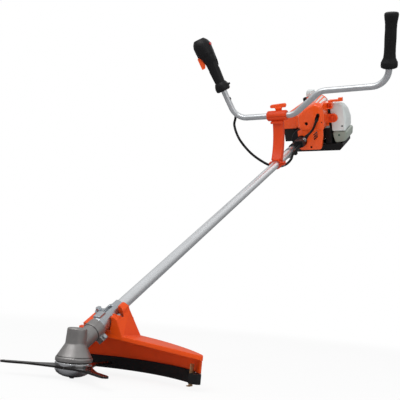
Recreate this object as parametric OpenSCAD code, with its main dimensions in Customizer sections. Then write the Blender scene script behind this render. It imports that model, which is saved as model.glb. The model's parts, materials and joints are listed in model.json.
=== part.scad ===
// Petrol brush cutter with a bike handle, a three-tooth blade and a line guard.
// Frame: X to the operator's left, Y to the rear along the ground, Z up.
// The origin is the centre of the harness eye, from which the machine hangs.

/* [Shaft] */
// Angle of the shaft above the plane of the blade
shaft_angle = 32; // [26:0.5:38]
// Height of the shaft axis above the blade, at the blade spindle
crossing_h = 38; // [36:0.5:42]
// Outer diameter of the shaft tube
tube_d = 28; // [27:0.5:29]
// Wall of the shaft tube
tube_wall = 1.6; // [1.2:0.1:2]
// Diameter of the drive shaft inside the tube
drive_d = 8; // [7:0.5:9]
// Distance along the shaft from the column's foot to the engine
engine_run = 245; // [225:5:295]
// Depth of the tube in the clutch housing
tube_depth = 25; // [20:1:26]

/* [Gear head] */
// Radius of the round cap on the gear head
cap_r = 22; // [21.5:0.5:24]
// Height of the cap above the blade
cap_top = 78; // [78:0.5:84]
// Radius of the flange over the thrust plate
flange_r = 39; // [37:0.5:42]
// Outer radius of the neck behind the clamp
neck_r = 20; // [18:0.5:21]
// Distance along the shaft to the end of the neck
neck_end = 78; // [74:1:80]
// Diameter of the hole for the locking pin
lock_hole_d = 5; // [4:0.5:6]

/* [Blade] */
// Diameter of the three-tooth blade
blade_d = 300; // [250:5:304]
// Thickness of the blade
blade_t = 4; // [3:0.5:4.5]
// Diameter of the blade's centre hole
blade_bore = 20; // [19:0.5:22]
// Width of each arm near its tip
arm_w = 22; // [16:1:30]
// Diameter of the rider plate
rider_d = 76; // [70:1:84]

/* [Guard] */
// Radius of the guard's rear wall
guard_r = 280; // [270:2:290]
// Wall of the guard
guard_wall = 3.5; // [2.5:0.25:4]
// Left-hand end of the guard, from the spindle
guard_left = 255; // [246:1:260]
// Right-hand end of the guard, from the spindle
guard_right = 80; // [76:1:90]
// Height of the lower edge of the guard above the blade
guard_clear = 8; // [6:0.5:10]
// Height of the front rim of the guard
rim_h = 10; // [8:0.5:16]
// Depth of the skirt below the guard's lower edge
skirt_drop = 24; // [16:1:28]
// Height of the line cutter
cutter_h = 46; // [36:1:50]

/* [Handle] */
// Distance along the shaft to the middle of the handle foot
foot_s = 1205; // [1195:1:1215]
// Height of the handlebar clamp above the shaft axis
clamp_v = 163; // [158:1:170]
// Width of the curved column
column_w = 40; // [36:1:48]
// Depth of the curved column
column_t = 22; // [18:1:24]
// Radius of the column's curve
column_bend = 241; // [225:1:260]
// Outer diameter of the handlebar
bar_d = 22; // [20:0.5:23]
// Wall of the handlebar
bar_wall = 2; // [1.5:0.1:2.5]
// Length of the clamp on the handlebar
clamp_len = 78; // [72:1:90]
// Span of the wing knob
knob_span = 64; // [50:1:70]

/* [Handlebar] */
// Reach of the bar to the right, up to the corner of its bend
reach_right = 168; // [150:1:190]
// Reach of the bar to the left, up to the corner of its bend
reach_left = 405; // [380:1:420]
// Rise of the left side above the clamp
rise_left = 78; // [70:1:84]
// Length of the right-hand bar from the corner to its end
arm_right = 244; // [238:1:246]
// Length of the left-hand bar from the corner to its end
arm_left = 225; // [215:1:235]
// Outward lean of the right-hand grip
splay_right = 17; // [12:0.5:20]
// Outward lean of the left-hand grip
splay_left = 7; // [4:0.5:12]
// Radius of the right-hand bend, at the middle of the tube
bend_right = 60; // [50:1:66]
// Radius of the left-hand bend, at the middle of the tube
bend_left = 60; // [50:1:64]
// Radius of the two bends of the offset
bend_offset = 60; // [50:1:70]

/* [Controls] */
// Turn of the control grip about the bar
control_turn = 210; // [190:1:230]
// Radius of the control grip
grip_r = 19; // [18.5:0.25:21]
// Length of the plain grip
plain_len = 178; // [170:1:184]
// Width of the throttle trigger
trigger_w = 13; // [10:0.5:15]
// Width of the lockout lever
lockout_w = 12; // [10:0.5:15]
// Diameter of the stop button
button_d = 10; // [8:0.5:10]
// Diameter of the throttle cable's sleeve
cable_d = 8; // [7:0.5:8.5]

/* [Harness eye] */
// Distance along the shaft from the column's foot to the harness eye
eye_run = 136; // [115:1:155]
// Diameter of the eye
eye_d = 12; // [10:0.5:14]
// Distance of the eye from the shaft axis
eye_x = 36; // [32:1:42]
// Thickness of the eye's lug
eye_t = 5; // [4:0.5:7]

/* [Engine] */
// Radius of the clutch housing
clutch_r = 47; // [45:0.5:49]
// Length of the clutch housing
clutch_len = 92; // [90:1:94]
// Length of the crankcase
crankcase_len = 94; // [90:1:98]
// Radius of the cylinder's cooling fins
fin_r = 38; // [32:1:40]
// Number of cooling fins
fins = 9; // [6:1:10]
// Radius of the starter housing
starter_r = 60; // [56:1:61]
// Wall of the engine's plastic covers
cover_wall = 2.6; // [2:0.2:3]
// Length of the air filter cover
filter_len = 104; // [96:1:110]
// Diameter of the filter cover knob
filter_knob_d = 32; // [26:1:36]
// Diameter of the fuel cap
fuel_cap_d = 30; // [26:1:32]
// Length of the choke lever
choke_len = 54; // [44:1:60]

/* [Fits] */
// Radial clearance of a sleeve on its tube
sleeve_gap = 0.1; // [0.05:0.05:0.2]
// Radial clearance of a turning shaft in its bearing
shaft_gap = 0.04; // [0.02:0.01:0.08]
// Gap between a moving piece and its neighbours
move_gap = 0.4; // [0.3:0.05:0.6]
// Gap between seated covers
seat_gap = 0.3; // [0.2:0.05:0.4]

/* [Hidden] */
$fn = 64;

orange = "#f05a28";
dark_orange = "#d9481f";
black = "#202224";
silver = "#c3c7ca";
cast_grey = "#8f8f8d";
steel = "#9aa0a6";
white = "#e6e8e6";
tank_grey = "#a3ab9f";

tube_r = tube_d / 2;
drive_r = drive_d / 2;
bar_r = bar_d / 2;
blade_r = blade_d / 2;
cable_r = cable_d / 2;
engine_s = foot_s + engine_run;
eye_s = foot_s + eye_run;
eye_place = [-eye_x, eye_s * cos(shaft_angle), crossing_h + eye_s * sin(shaft_angle)];

// The parts are laid out from the middle of the blade, then moved to the harness eye.
module on_head() {
  translate(-eye_place) children();
}

// Turns the shaft's own frame (Y along the tube, Z square to it) up from the blade.
module along_shaft() {
  translate([0, 0, crossing_h]) rotate([shaft_angle, 0, 0]) children();
}

module on_shaft() {
  on_head() along_shaft() children();
}

module on_engine() {
  on_shaft() translate([0, engine_s, 0]) children();
}

// A round bar along Y.
module rod(r, from, to) {
  translate([0, from, 0]) rotate([-90, 0, 0]) cylinder(r = r, h = to - from);
}

// A block between two corners.
module block(low, high) {
  translate(low) cube(high - low);
}

// A slab with its outline in X and Z, from y to y + t.
module slab(y, t) {
  translate([0, y + t, 0]) rotate([90, 0, 0]) linear_extrude(t) children();
}

// A slab with its outline in Y and Z, centred on X.
module side_slab(w) {
  rotate([90, 0, 90]) linear_extrude(w, center = true) children();
}

module rounded_outline(r) {
  offset(r = r, $fn = 24) offset(delta = -r) children();
}

// A rectangle with quarter-round corners, from true circles.
module soft_rectangle(w, h, r) {
  square([w - 2 * r, h], center = true);
  square([w, h - 2 * r], center = true);
  for (x = [-1, 1], y = [-1, 1]) translate([x * (w / 2 - r), y * (h / 2 - r)]) circle(r);
}

// A hexagon-headed screw along Z, with its head on top of z = 0.
module screw(d, length, head_w, head_h) {
  cylinder(d = head_w / cos(30), h = head_h, $fn = 6);
  translate([0, 0, -length]) cylinder(d = d, h = length + head_h / 2);
}

/* ---------- Gear head ---------- */
head_floor = 9;
spindle_low_r = 8.5;
spindle_top_r = 6;
low_bearing_r = 17.5;
low_bearing_t = 10;
top_bearing_r = 14;
top_bearing_t = 8;
gear_big_r = 16.8;
gear_top_z = crossing_h + 25;
gear_bottom_z = crossing_h + 16;
gear_small_r = gear_big_r * 16 / 25;
gear_hub_z = gear_top_z + 3;
pinion_big_r = 12;
pinion_big_s = 28;
pinion_small_s = 19;
pinion_small_r = pinion_big_r * pinion_small_s / pinion_big_s;
pinion_bearing_r = 14;
pinion_bearing_s = 30;
pinion_bearing_t = 8;
pinion_end = 56;
tube_start = 58;
lug_turn = -38;
gear_teeth = 21;
pinion_teeth = 15;

module gear_head() color(cast_grey) on_head() difference() {
  union() {
    rotate_extrude() polygon([
      [0, head_floor], [flange_r, head_floor], [flange_r, head_floor + 7],
      [flange_r - 2, head_floor + 9.5], [cap_r, crossing_h + 7], [cap_r - 1, cap_top - 2.5],
      [cap_r - 3.5, cap_top], [0, cap_top]]);
    along_shaft() {
      rod(neck_r, 9, 55);
      rod(neck_r + 1.6, 55, neck_end);
      rotate([0, lug_turn, 0]) block([-9, 58, -neck_r - 12], [9, neck_end - 2, -neck_r + 4]);
    }
  }
  translate([0, 0, head_floor - 1]) cylinder(r = low_bearing_r, h = low_bearing_t + 2);
  translate([0, 0, head_floor + 5]) cylinder(r = top_bearing_r, h = cap_top - head_floor - 9);
  translate([0, 0, gear_bottom_z - 4]) cylinder(r = gear_big_r + 1.4, h = 15);
  along_shaft() {
    rod(pinion_bearing_r, 11.6, pinion_bearing_s + 2 * pinion_bearing_t);
    rod(pinion_bearing_r - 3, 11, tube_start);
    rod(tube_r + sleeve_gap, tube_start, neck_end + 1);
    rotate([0, lug_turn, 0]) {
      block([-1, tube_start + 1, -neck_r - 13], [1, neck_end + 1, 0]);
      translate([0, 67, -neck_r - 6]) rotate([0, 90, 0]) cylinder(d = 5.3, h = 40, center = true);
    }
  }
  translate([-flange_r, 0, head_floor + 7]) rotate([0, 62, 0]) cylinder(d = lock_hole_d, h = 24, center = true);
}

// One screw closes the gear head's lug, and two close the foot of the handle column.
module clamp_screws() color(steel) on_shaft() {
  rotate([0, lug_turn, 0]) translate([9, 67, -neck_r - 6]) rotate([0, 90, 0]) screw(5, 19, 8, 4.5);
  for (side = [-1, 1]) translate([side * foot_screw_x, foot_s, -foot_ear / 2])
    mirror([0, 0, 1]) screw(5, foot_ear, 8, 4.5);
}

// Teeth cut as slots down the flank of a cone.
module tooth_slots(count, flank, from, r) {
  for (i = [0 : count - 1]) rotate([0, 0, i * 360 / count])
    translate([r, 0, from]) rotate([0, flank, 0]) cube([4.4, 1.5, 30], center = true);
}

module bevel_gear() color(steel) on_head() difference() {
  union() {
    translate([0, 0, gear_bottom_z])
      cylinder(r1 = gear_small_r, r2 = gear_big_r, h = gear_top_z - gear_bottom_z);
    translate([0, 0, gear_top_z - 0.5]) cylinder(r = 9, h = gear_hub_z - gear_top_z + 0.5);
  }
  tooth_slots(gear_teeth, 34, (gear_bottom_z + gear_top_z) / 2, (gear_small_r + gear_big_r) / 2);
  translate([0, 0, gear_bottom_z - 1]) cylinder(r = spindle_top_r + 0.02, h = 30);
}

module output_spindle() color(steel) on_head() rotate_extrude() polygon([
  [0, -26], [4.4, -26], [5, -25], [5, 0.6], [spindle_low_r, 0.6],
  [spindle_low_r, head_floor + low_bearing_t + 3], [spindle_top_r, 24],
  [spindle_top_r, cap_top - 4.6], [0, cap_top - 4.6]]);

module bearing(bore_r, outer_r, t) {
  difference() {
    cylinder(r = outer_r, h = t);
    translate([0, 0, -1]) cylinder(r = bore_r, h = t + 2);
    for (z = [-1, t - 0.7]) translate([0, 0, z]) difference() {
      cylinder(r = outer_r - 2, h = 1.7);
      cylinder(r = bore_r + 2, h = 1.7);
    }
  }
}

module spindle_bearings() color(steel) on_head() {
  translate([0, 0, head_floor + 1])
    bearing(spindle_low_r + shaft_gap, low_bearing_r - 0.02, low_bearing_t);
  translate([0, 0, cap_top - 4 - top_bearing_t])
    bearing(spindle_top_r + shaft_gap, top_bearing_r - 0.02, top_bearing_t - 0.1);
}

module thrust_plate() color(silver) on_head() rotate_extrude() polygon([
  [5.04, -blade_t + 0.5], [blade_bore / 2 - 0.05, -blade_t + 0.5], [blade_bore / 2 - 0.05, 0],
  [flange_r - 1, 0], [flange_r - 0.5, 1], [flange_r - 0.5, 6], [flange_r - 2.5, head_floor - 1],
  [spindle_low_r + 0.04, head_floor - 1], [spindle_low_r + 0.04, 0.6], [5.04, 0.6]]);

module blade_arm() {
  polygon([[18, -34], [52, -20], [78, -arm_w * 0.52], [blade_r - 14, -arm_w * 0.5],
    [blade_r - 5, -arm_w * 0.42], [blade_r, -arm_w * 0.12], [blade_r - 3, arm_w * 0.16],
    [blade_r - 16, arm_w * 0.34], [96, arm_w * 0.36], [74, arm_w * 0.62], [50, 22], [10, 37]]);
}

module blade() color(steel) on_head() translate([0, 0, -blade_t]) difference() {
  linear_extrude(blade_t) {
    circle(38);
    for (a = [0, 120, 240]) rotate(216 + a) blade_arm();
  }
  translate([0, 0, -1]) cylinder(d = blade_bore, h = blade_t + 2);
  for (a = [0, 120, 240]) rotate([0, 0, 216 + a]) for (side = [-1, 1])
    translate([92, side * (arm_w / 2 + 0.5), blade_t]) rotate([side * 24, 0, 0])
      block([-18, side > 0 ? -3.2 : -6, 0], [blade_r - 100, side > 0 ? 6 : 3.2, 4]);
}

module rider_plate() color(silver) on_head() translate([0, 0, -blade_t]) rotate_extrude() polygon([
  [5.1, 0], [rider_d / 2 - 1, 0], [rider_d / 2, -1.5], [rider_d / 2 - 0.6, -5],
  [rider_d / 2 - 4, -10], [rider_d / 2 - 10, -14], [rider_d / 2 - 17, -17], [15, -18.4],
  [14.2, -18.4], [14.2, -9], [5.1, -9]]);

module blade_nut() color(steel) on_head() translate([0, 0, -blade_t - 18]) difference() {
  union() {
    cylinder(r = 11, h = 9, $fn = 6);
    translate([0, 0, 6.5]) cylinder(r = 12.6, h = 2.5);
  }
  translate([0, 0, -1]) cylinder(r = 5.06, h = 12);
}

/* ---------- Drive inside the tube ---------- */
module pinion() color(steel) on_shaft() difference() {
  union() {
    translate([0, pinion_small_s, 0]) rotate([-90, 0, 0])
      cylinder(r1 = pinion_small_r - 0.4, r2 = pinion_big_r - 0.4, h = pinion_big_s - pinion_small_s);
    rod(spindle_top_r, pinion_big_s - 1, pinion_end);
  }
  rotate([-90, 0, 0])
    tooth_slots(pinion_teeth, 23.2, (pinion_small_s + pinion_big_s) / 2, (pinion_small_r + pinion_big_r) / 2);
  rod(drive_r + 0.03, 30, pinion_end + 1);
}

// Two bearings carry the pinion and a third carries the clutch drum.
module drive_bearings() color(steel) on_shaft()
  for (s = [pinion_bearing_s, pinion_bearing_s + pinion_bearing_t, engine_s + drum_bearing_y])
    translate([0, s, 0]) rotate([-90, 0, 0])
      bearing(spindle_top_r + shaft_gap, pinion_bearing_r - 0.02, pinion_bearing_t - 0.1);

module drive_shaft() color(steel) on_shaft() rod(drive_r, 31, engine_s + 46);

module shaft_bushes() color(black) on_shaft() for (i = [1 : 5])
  translate([0, i * engine_s / 6, 0]) difference() {
    rod(tube_r - tube_wall - 0.05, 0, 16);
    rod(drive_r + shaft_gap, -1, 17);
    for (a = [0 : 60 : 300]) rotate([0, a, 0]) rod_groove();
  }

module rod_groove() {
  translate([0, 0, tube_r - tube_wall]) rod(2, -1, 17);
}

module shaft_tube() color(silver) on_shaft() difference() {
  rod(tube_r, tube_start, engine_s + tube_depth);
  rod(tube_r - tube_wall, tube_start - 1, engine_s + tube_depth + 1);
}

/* ---------- Guard ---------- */
guard_centre = [70, -100];
guard_top = 69.5;
guard_tilt = 5.4;
guard_bevel = 20;
bolt_x = 27;
bolt_s = 126;
pad_v = 3;
ear_v = 12;
bracket_start = neck_end + 1;
bracket_end = 164;
bracket_r = tube_r + 6;
ear_r = 10;

module guard_plan(inset) {
  offset(delta = -inset) rounded_outline(9) intersection() {
    translate(guard_centre) circle(guard_r, $fn = 120);
    polygon([[-guard_right + 12, 86], [guard_left, 108], [guard_left, 220], [-guard_right, 220], [-guard_right, 106]]);
  }
}

// The space below the guard's sloping top and its bevelled outer end, lowered by drop.
module under_top(drop) {
  intersection() {
    translate([0, 0, guard_top - drop]) rotate([0, guard_tilt, 0])
      translate([-400, -100, -300]) cube([800, 400, 300]);
    translate([guard_left - guard_bevel, 0, guard_top - 20 - drop]) rotate([0, 34, 0])
      translate([-600, -100, -500]) cube([1000, 400, 500]);
  }
}

module guard_body(inset, drop, floor_z) {
  intersection() {
    translate([0, 0, floor_z]) linear_extrude(120) guard_plan(inset);
    under_top(drop);
  }
}

// The left bolt's ear lies lower, in a pocket of the guard's mount.
function ear_drop(side) = side > 0 ? 14 : 0;

steps_start = 104;
step_len = 9;

module guard_mount() {
  hull() {
    along_shaft() block([-40, 96, -27], [40, 158, -17]);
    block([-58, 102, 56], [52, 146, 62]);
  }
  hull() {
    along_shaft() block([16, steps_start, -24], [37, 156, 4]);
    block([18, 94, 56], [52, 168, 62]);
  }
  along_shaft() {
    block([-44, 84, -20], [-17, 142, pad_v]);
    for (i = [0 : 3]) slab(steps_start + step_len * i, i < 3 ? step_len + 0.5 : 25) polygon([
      [17, -4], [17, 12 + 3 * i], [27, 12 + 3 * i], [37, 5 + 3 * i], [37, -4]]);
  }
}

module guard() color(orange) on_head() difference() {
  union() {
    difference() {
      guard_body(0, 0, guard_clear);
      guard_body(guard_wall, guard_wall, guard_clear - 1);
      intersection() {
        translate([0, 0, guard_clear - 1]) linear_extrude(120)
          polygon([[-guard_right + guard_wall, 60], [guard_left - guard_wall, 60],
            [guard_left - guard_wall, 124], [-guard_right + guard_wall + 12, 98]]);
        under_top(rim_h);
      }
    }
    guard_mount();
  }
  along_shaft() {
    rod(bracket_r + 0.3, 60, 132);
    rod(tube_r + 0.4, 120, 400);
    block([-bracket_r - 0.3, 60, 0], [bracket_r + 0.3, 132, 60]);
    block([-bracket_r - seat_gap, 120, 0], [bracket_r + seat_gap, 400, 60]);
    for (side = [-1, 1]) {
      translate([side * bolt_x, bolt_s, -60]) cylinder(d = 6.6, h = 80);
      translate([side * bolt_x, bolt_s, pad_v - ear_drop(side)]) cylinder(r = ear_r + seat_gap, h = 60);
      block([side > 0 ? 10 : -bolt_x, bolt_s - ear_r - seat_gap, pad_v - ear_drop(side)],
        [side > 0 ? bolt_x : -10, bolt_s + ear_r + seat_gap, 60]);
    }
  }
  guard_body(guard_wall, guard_wall + 6, guard_clear - 1);
}

module guard_bracket() color(silver) on_shaft() difference() {
  union() {
    rod(bracket_r, bracket_start, bracket_start + 22);
    intersection() {
      rod(bracket_r, bracket_start, bracket_end);
      block([-40, bracket_start, 0.5], [40, bracket_end, 40]);
    }
    for (side = [-1, 1]) {
      translate([0, 0, -ear_drop(side)]) {
        translate([side * bolt_x, bolt_s, pad_v]) cylinder(r = ear_r, h = ear_v - pad_v);
        block([side > 0 ? 14 : -bolt_x, bolt_s - ear_r, pad_v],
          [side > 0 ? bolt_x : -14, bolt_s + ear_r, ear_v]);
      }
    }
    block([14, bolt_s - ear_r, -5], [19.5, bolt_s + ear_r, 4]);
    block([-9, bracket_start + 4, bracket_r - 3], [9, 106, bracket_r + 4]);
  }
  rod(tube_r + sleeve_gap, 0, 400);
  block([-4, 108, 5], [6, 138, 40]);
  for (side = [-1, 1]) translate([side * bolt_x, bolt_s, -30]) cylinder(d = 6.6, h = 60);
  rotate([0, 20, 0]) block([-30, 146, 0], [-9, 170, 40]);
}

module guard_bolts() color(steel) on_shaft() for (side = [-1, 1])
  translate([side * bolt_x, bolt_s, ear_v - ear_drop(side)]) screw(6, 28, 12, 7);

skirt_t = 4;
skirt_top = 3;
end_block = 36;

module guard_skirt() color(black) on_head() {
  difference() {
    intersection() {
      translate([0, 0, guard_clear - skirt_drop]) linear_extrude(skirt_drop + skirt_top) difference() {
        guard_plan(guard_wall + seat_gap);
        guard_plan(guard_wall + seat_gap + skirt_t);
      }
      block([-70, 128, -60], [guard_left - end_block, 300, 60]);
    }
  }
  translate([0, 0, guard_clear - skirt_drop + 3]) linear_extrude(skirt_drop - 3 - seat_gap) intersection() {
    guard_plan(0.5);
    translate([guard_left - end_block, 0]) square([end_block + 1, 300]);
  }
}

module line_cutter() color("#b98d63") on_head()
  translate([guard_left - end_block - 2.3, 112.5, guard_clear - skirt_drop - 4]) {
    difference() {
      cube([2, 15, cutter_h]);
      translate([-1, 0, 6]) rotate([0, 0, 24]) cube([6, 4, cutter_h - 12]);
    }
    translate([-5, 0, 0]) cube([6, 15, 2]);
    translate([-5, 9, cutter_h - 2]) cube([6, 6, 2]);
  }

/* ---------- Handle column and clamp ---------- */
foot_half = 17;
foot_r = tube_r + 5;
foot_screw_x = 24;
foot_ear = 11;
column_low = 44;
column_turn = 36;
column_start = [foot_s - 2, 10];
column_centre = column_start + column_bend * [-cos(column_low), sin(column_low)];
bar_s = column_centre[0] + column_bend * cos(column_low - column_turn);
clamp_r = bar_r + 8;
wing_s = bar_s + bar_r + 8;
split_gap = 0.6;

module foot_form() {
  rod(foot_r, foot_s - foot_half, foot_s + foot_half);
  translate([0, foot_s, 0]) cube([2 * foot_screw_x + 12, 20, foot_ear], center = true);
}

module foot_holes() {
  rod(tube_r + sleeve_gap, foot_s - 40, foot_s + 40);
  for (side = [-1, 1]) translate([side * foot_screw_x, foot_s, -30]) cylinder(d = 5.3, h = 60);
}

module clamp_form() {
  translate([0, bar_s, clamp_v]) rotate([0, 90, 0]) {
    cylinder(r = clamp_r, h = clamp_len - 6, center = true);
    cylinder(r = clamp_r - 3, h = clamp_len, center = true);
  }
  translate([0, wing_s, clamp_v - 30]) cylinder(r = 12, h = 30 + clamp_r - 1);
}

module clamp_holes() {
  translate([0, bar_s, clamp_v]) rotate([0, 90, 0])
    cylinder(r = bar_r + sleeve_gap, h = clamp_len + 20, center = true);
}

module handle_column() color(dark_orange) on_shaft() difference() {
  union() {
    intersection() {
      foot_form();
      block([-60, foot_s - 40, split_gap / 2], [60, foot_s + 40, 60]);
    }
    rotate([90, 0, 90]) translate(column_centre) rotate([0, 0, -column_low])
      rotate_extrude(angle = column_turn) translate([column_bend, 0])
        soft_rectangle(column_t, column_w, 5);
    intersection() {
      clamp_form();
      block([-80, bar_s - 60, clamp_v - 60], [80, bar_s + 60, clamp_v - split_gap / 2]);
    }
    translate([0, bar_s - clamp_r + 5, clamp_v - clamp_r - 3]) cube([column_w + 8, 12, 8], center = true);
  }
  foot_holes();
  clamp_holes();
  block([-60, foot_s - 60, -60], [60, foot_s + 60, split_gap / 2]);
  translate([0, wing_s, clamp_v - 50]) cylinder(d = 8 + 2 * move_gap, h = 60);
}

module foot_cap() color(dark_orange) on_shaft() difference() {
  intersection() {
    foot_form();
    block([-60, foot_s - 40, -60], [60, foot_s + 40, -split_gap / 2]);
  }
  foot_holes();
}

module clamp_cap() color(dark_orange) on_shaft() difference() {
  intersection() {
    clamp_form();
    block([-80, bar_s - 60, clamp_v + split_gap / 2], [80, bar_s + 60, clamp_v + 60]);
  }
  clamp_holes();
  translate([0, wing_s, clamp_v - 10]) cylinder(d = 8 + 2 * move_gap, h = 60);
}

module wing_knob() color(orange) on_shaft() translate([0, wing_s, clamp_v + clamp_r - 1 + move_gap]) {
  cylinder(r1 = 12, r2 = 14, h = 8);
  translate([0, 0, 7]) hull() for (side = [-1, 1]) translate([side * (knob_span / 2 - 7), 0, 0]) {
    translate([0, 0, 7.5 + side * 1.5]) rotate([90, 0, 0]) cylinder(r = 6, h = 11, center = true, $fn = 32);
    cylinder(r = 4, h = 3, $fn = 32);
  }
  translate([0, 0, -46]) cylinder(d = 8, h = 47);
}

/* ---------- Handlebar ---------- */
offset_start = 64;
offset_end = 172;
offset_angle = atan2(rise_left, offset_end - offset_start);
offset_run = norm([offset_end - offset_start, rise_left]);

function tangent(turn, r) = r * tan(abs(turn) / 2);

turn_right = 90 - splay_right;
turn_left = 90 - splay_left;
// Each step is [turn, radius] for a bend, or [0, length] for a straight stretch.
right_steps = [
  [0, reach_right - tangent(turn_right, bend_right)],
  [turn_right, bend_right],
  [0, arm_right - tangent(turn_right, bend_right)]];
left_steps = [
  [0, offset_start - tangent(offset_angle, bend_offset)],
  [offset_angle, bend_offset],
  [0, offset_run - 2 * tangent(offset_angle, bend_offset)],
  [-offset_angle, bend_offset],
  [0, reach_left - offset_end - tangent(offset_angle, bend_offset) - tangent(turn_left, bend_left)],
  [turn_left, bend_left],
  [0, arm_left - tangent(turn_left, bend_left)]];

// The straights reach bend_lap into the bends, which are bend_ease thinner, so each joint is clean.
bend_lap = 2.5;
bend_ease = 0.15;

// A round bar that follows the steps after the first, along X and turning in the XY plane.
module bent_bar(steps, r, past, i = 1) {
  if (i < len(steps)) {
    turn = steps[i][0];
    size = steps[i][1];
    side = turn < 0 ? -1 : 1;
    if (turn == 0) {
      ahead = i == len(steps) - 1 ? past : bend_lap;
      translate([-bend_lap, 0, 0]) rotate([0, 90, 0]) cylinder(r = r, h = size + bend_lap + ahead);
      translate([size, 0, 0]) bent_bar(steps, r, past, i + 1);
    } else {
      translate([0, side * size, 0]) rotate([0, 0, side > 0 ? -90 : 90 - abs(turn)])
        rotate_extrude(angle = abs(turn)) translate([size, 0]) circle(r - bend_ease);
      translate([0, side * size, 0]) rotate([0, 0, turn]) translate([0, -side * size, 0])
        bent_bar(steps, r, past, i + 1);
    }
  }
}

// The whole bar, from the middle of the clamp; past makes both ends longer.
module bar_form(r, past) {
  translate([-right_steps[0][1] - bend_lap, 0, 0]) rotate([0, 90, 0])
    cylinder(r = r, h = right_steps[0][1] + left_steps[0][1] + 2 * bend_lap);
  rotate([90, 0, 0]) translate([left_steps[0][1], 0, 0]) bent_bar(left_steps, r, past);
  mirror([1, 0, 0]) rotate([90, 0, 0]) translate([right_steps[0][1], 0, 0]) bent_bar(right_steps, r, past);
}

module at_clamp() {
  on_shaft() translate([0, bar_s, clamp_v]) children();
}

module handlebar() color(silver) at_clamp() difference() {
  bar_form(bar_r, 0, $fn = 48);
  bar_form(bar_r - bar_wall, 2, $fn = 48);
}

module at_left_corner() {
  at_clamp() translate([reach_left, 0, rise_left]) rotate([0, splay_left, 0]) children();
}

grip_start = tangent(turn_left, bend_left) + 3;

module plain_grip() color(black) at_left_corner() translate([0, 0, grip_start]) difference() {
  rotate_extrude() polygon([
    [0, 0], [20, 0], [26, 3], [27.5, 9], [27, 20], [24, 26], [20.5, 34], [19, 48],
    [18.6, 70], [19.2, 96], [18.6, 124], [19.5, 146], [21.5, plain_len - 20],
    [23, plain_len - 8], [21.5, plain_len - 2], [18, plain_len], [0, plain_len]]);
  translate([0, 0, -1]) cylinder(r = bar_r + sleeve_gap, h = arm_left - grip_start + 1.5);
  for (i = [0 : 9]) translate([0, 0, 50 + i * 10]) rotate_extrude()
    translate([19.6, 0]) circle(1, $fn = 16);
}

/* ---------- Control grip ---------- */
collar_start = 114;
head_start = 258;
head_r = 34;
head_shift = 5;
button_turn = 62;
head_top = 324;
trigger_pivot = [13, 264];
lockout_pivot = [-15, 272];
button_z = 293;
shell_wall = 2.6;
shell_split = 0.05;
pin_d = 4;
screw_d = 3;
shell_screws = [[18, 136], [-18, 136]];

module at_control() {
  at_clamp() translate([-reach_right, 0, 0]) rotate([0, -splay_right, 0])
    rotate([0, 0, control_turn]) children();
}

// The outside of the control grip; inset gives the inside of its shells.
module control_form(inset) {
  hull() {
    translate([0, 0, 146]) cylinder(r = grip_r - inset, h = 1, $fn = 32);
    for (x = [-4, 4]) translate([x, 0, 232]) cylinder(r = grip_r - inset, h = 1, $fn = 32);
  }
  hull() {
    for (x = [-4, 4]) translate([x, 0, 228]) cylinder(r = grip_r - inset, h = 1, $fn = 32);
    translate([2, 0, head_start]) cylinder(r = 30 - inset, h = 2, $fn = 32);
  }
  hull() {
    translate([head_shift - 2, 0, head_start + 1]) cylinder(r = head_r - 3 - inset, h = 4, $fn = 40);
    translate([head_shift, 0, head_start + 8]) cylinder(r = head_r - inset, h = 34, $fn = 40);
    translate([head_shift + 1, 0, 306]) cylinder(r = head_r - 5 - inset, h = 7, $fn = 32);
    translate([head_shift + 2, 0, 312]) cylinder(r = 20 - inset, h = head_top - 312 - inset, $fn = 32);
  }
}

module control_collar() {
  rotate_extrude() polygon([
    [bar_r + 3, collar_start], [22, collar_start], [27, collar_start + 4],
    [28, collar_start + 14], [26, collar_start + 24], [21, collar_start + 34], [bar_r + 3, collar_start + 36]]);
  hull() {
    translate([0, 0, collar_start + 12]) cylinder(r = 24, h = 10, $fn = 32);
    rotate([0, 0, -control_turn]) translate([33, 0, collar_start + 14]) cylinder(r = 4, h = 7, $fn = 20);
  }
}

module control_cavity() {
  cylinder(r = bar_r + sleeve_gap, h = arm_right + seat_gap);
  intersection() {
    control_form(shell_wall);
    block([-60, -60, head_start - 12], [60, 60, 400]);
  }
  // Slots for the trigger and the lockout lever.
  block([5, -trigger_w / 2 - move_gap, 200], [70, trigger_w / 2 + move_gap, 276]);
  block([-70, -lockout_w / 2 - move_gap, 203], [-bar_r - 1, lockout_w / 2 + move_gap, 283]);
}

module control_holes() {
  for (p = [trigger_pivot, lockout_pivot])
    translate([p[0], 0, p[1]]) rotate([90, 0, 0]) cylinder(d = pin_d + 0.1, h = 42.2, center = true);
  for (p = shell_screws)
    translate([p[0], 0, p[1]]) rotate([90, 0, 0]) cylinder(d = screw_d, h = 20.2, center = true);
  at_button() cylinder(d = button_d + 2 * move_gap, h = 60);
}

// Looks out of the head's side, along the stop button's own axis.
module at_button() {
  translate([head_shift, 0, button_z]) rotate([0, 0, button_turn]) rotate([-90, 0, 0]) children();
}

// Bosses inside the head, on each side of the trigger and of the lockout lever, carry their pins.
module pin_bosses() {
  for (p = [[trigger_pivot, trigger_w], [lockout_pivot, lockout_w]], side = [-1, 1])
    translate([p[0][0], side * (p[1] / 2 + move_gap), p[0][1]]) rotate([-90 * side, 0, 0])
      cylinder(r = 4.5, h = 60);
}

module control_shell(side) {
  difference() {
    union() {
      difference() {
        union() {
          control_form(0);
          control_collar();
        }
        control_cavity();
      }
      intersection() {
        pin_bosses();
        control_form(1);
      }
    }
    control_holes();
    translate([-80, side > 0 ? -160 + shell_split : -shell_split, 80]) cube([160, 160, 300]);
  }
}

module control_shell_front() color(black) at_control() control_shell(1);

module control_shell_rear() color(black) at_control() control_shell(-1);

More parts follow.
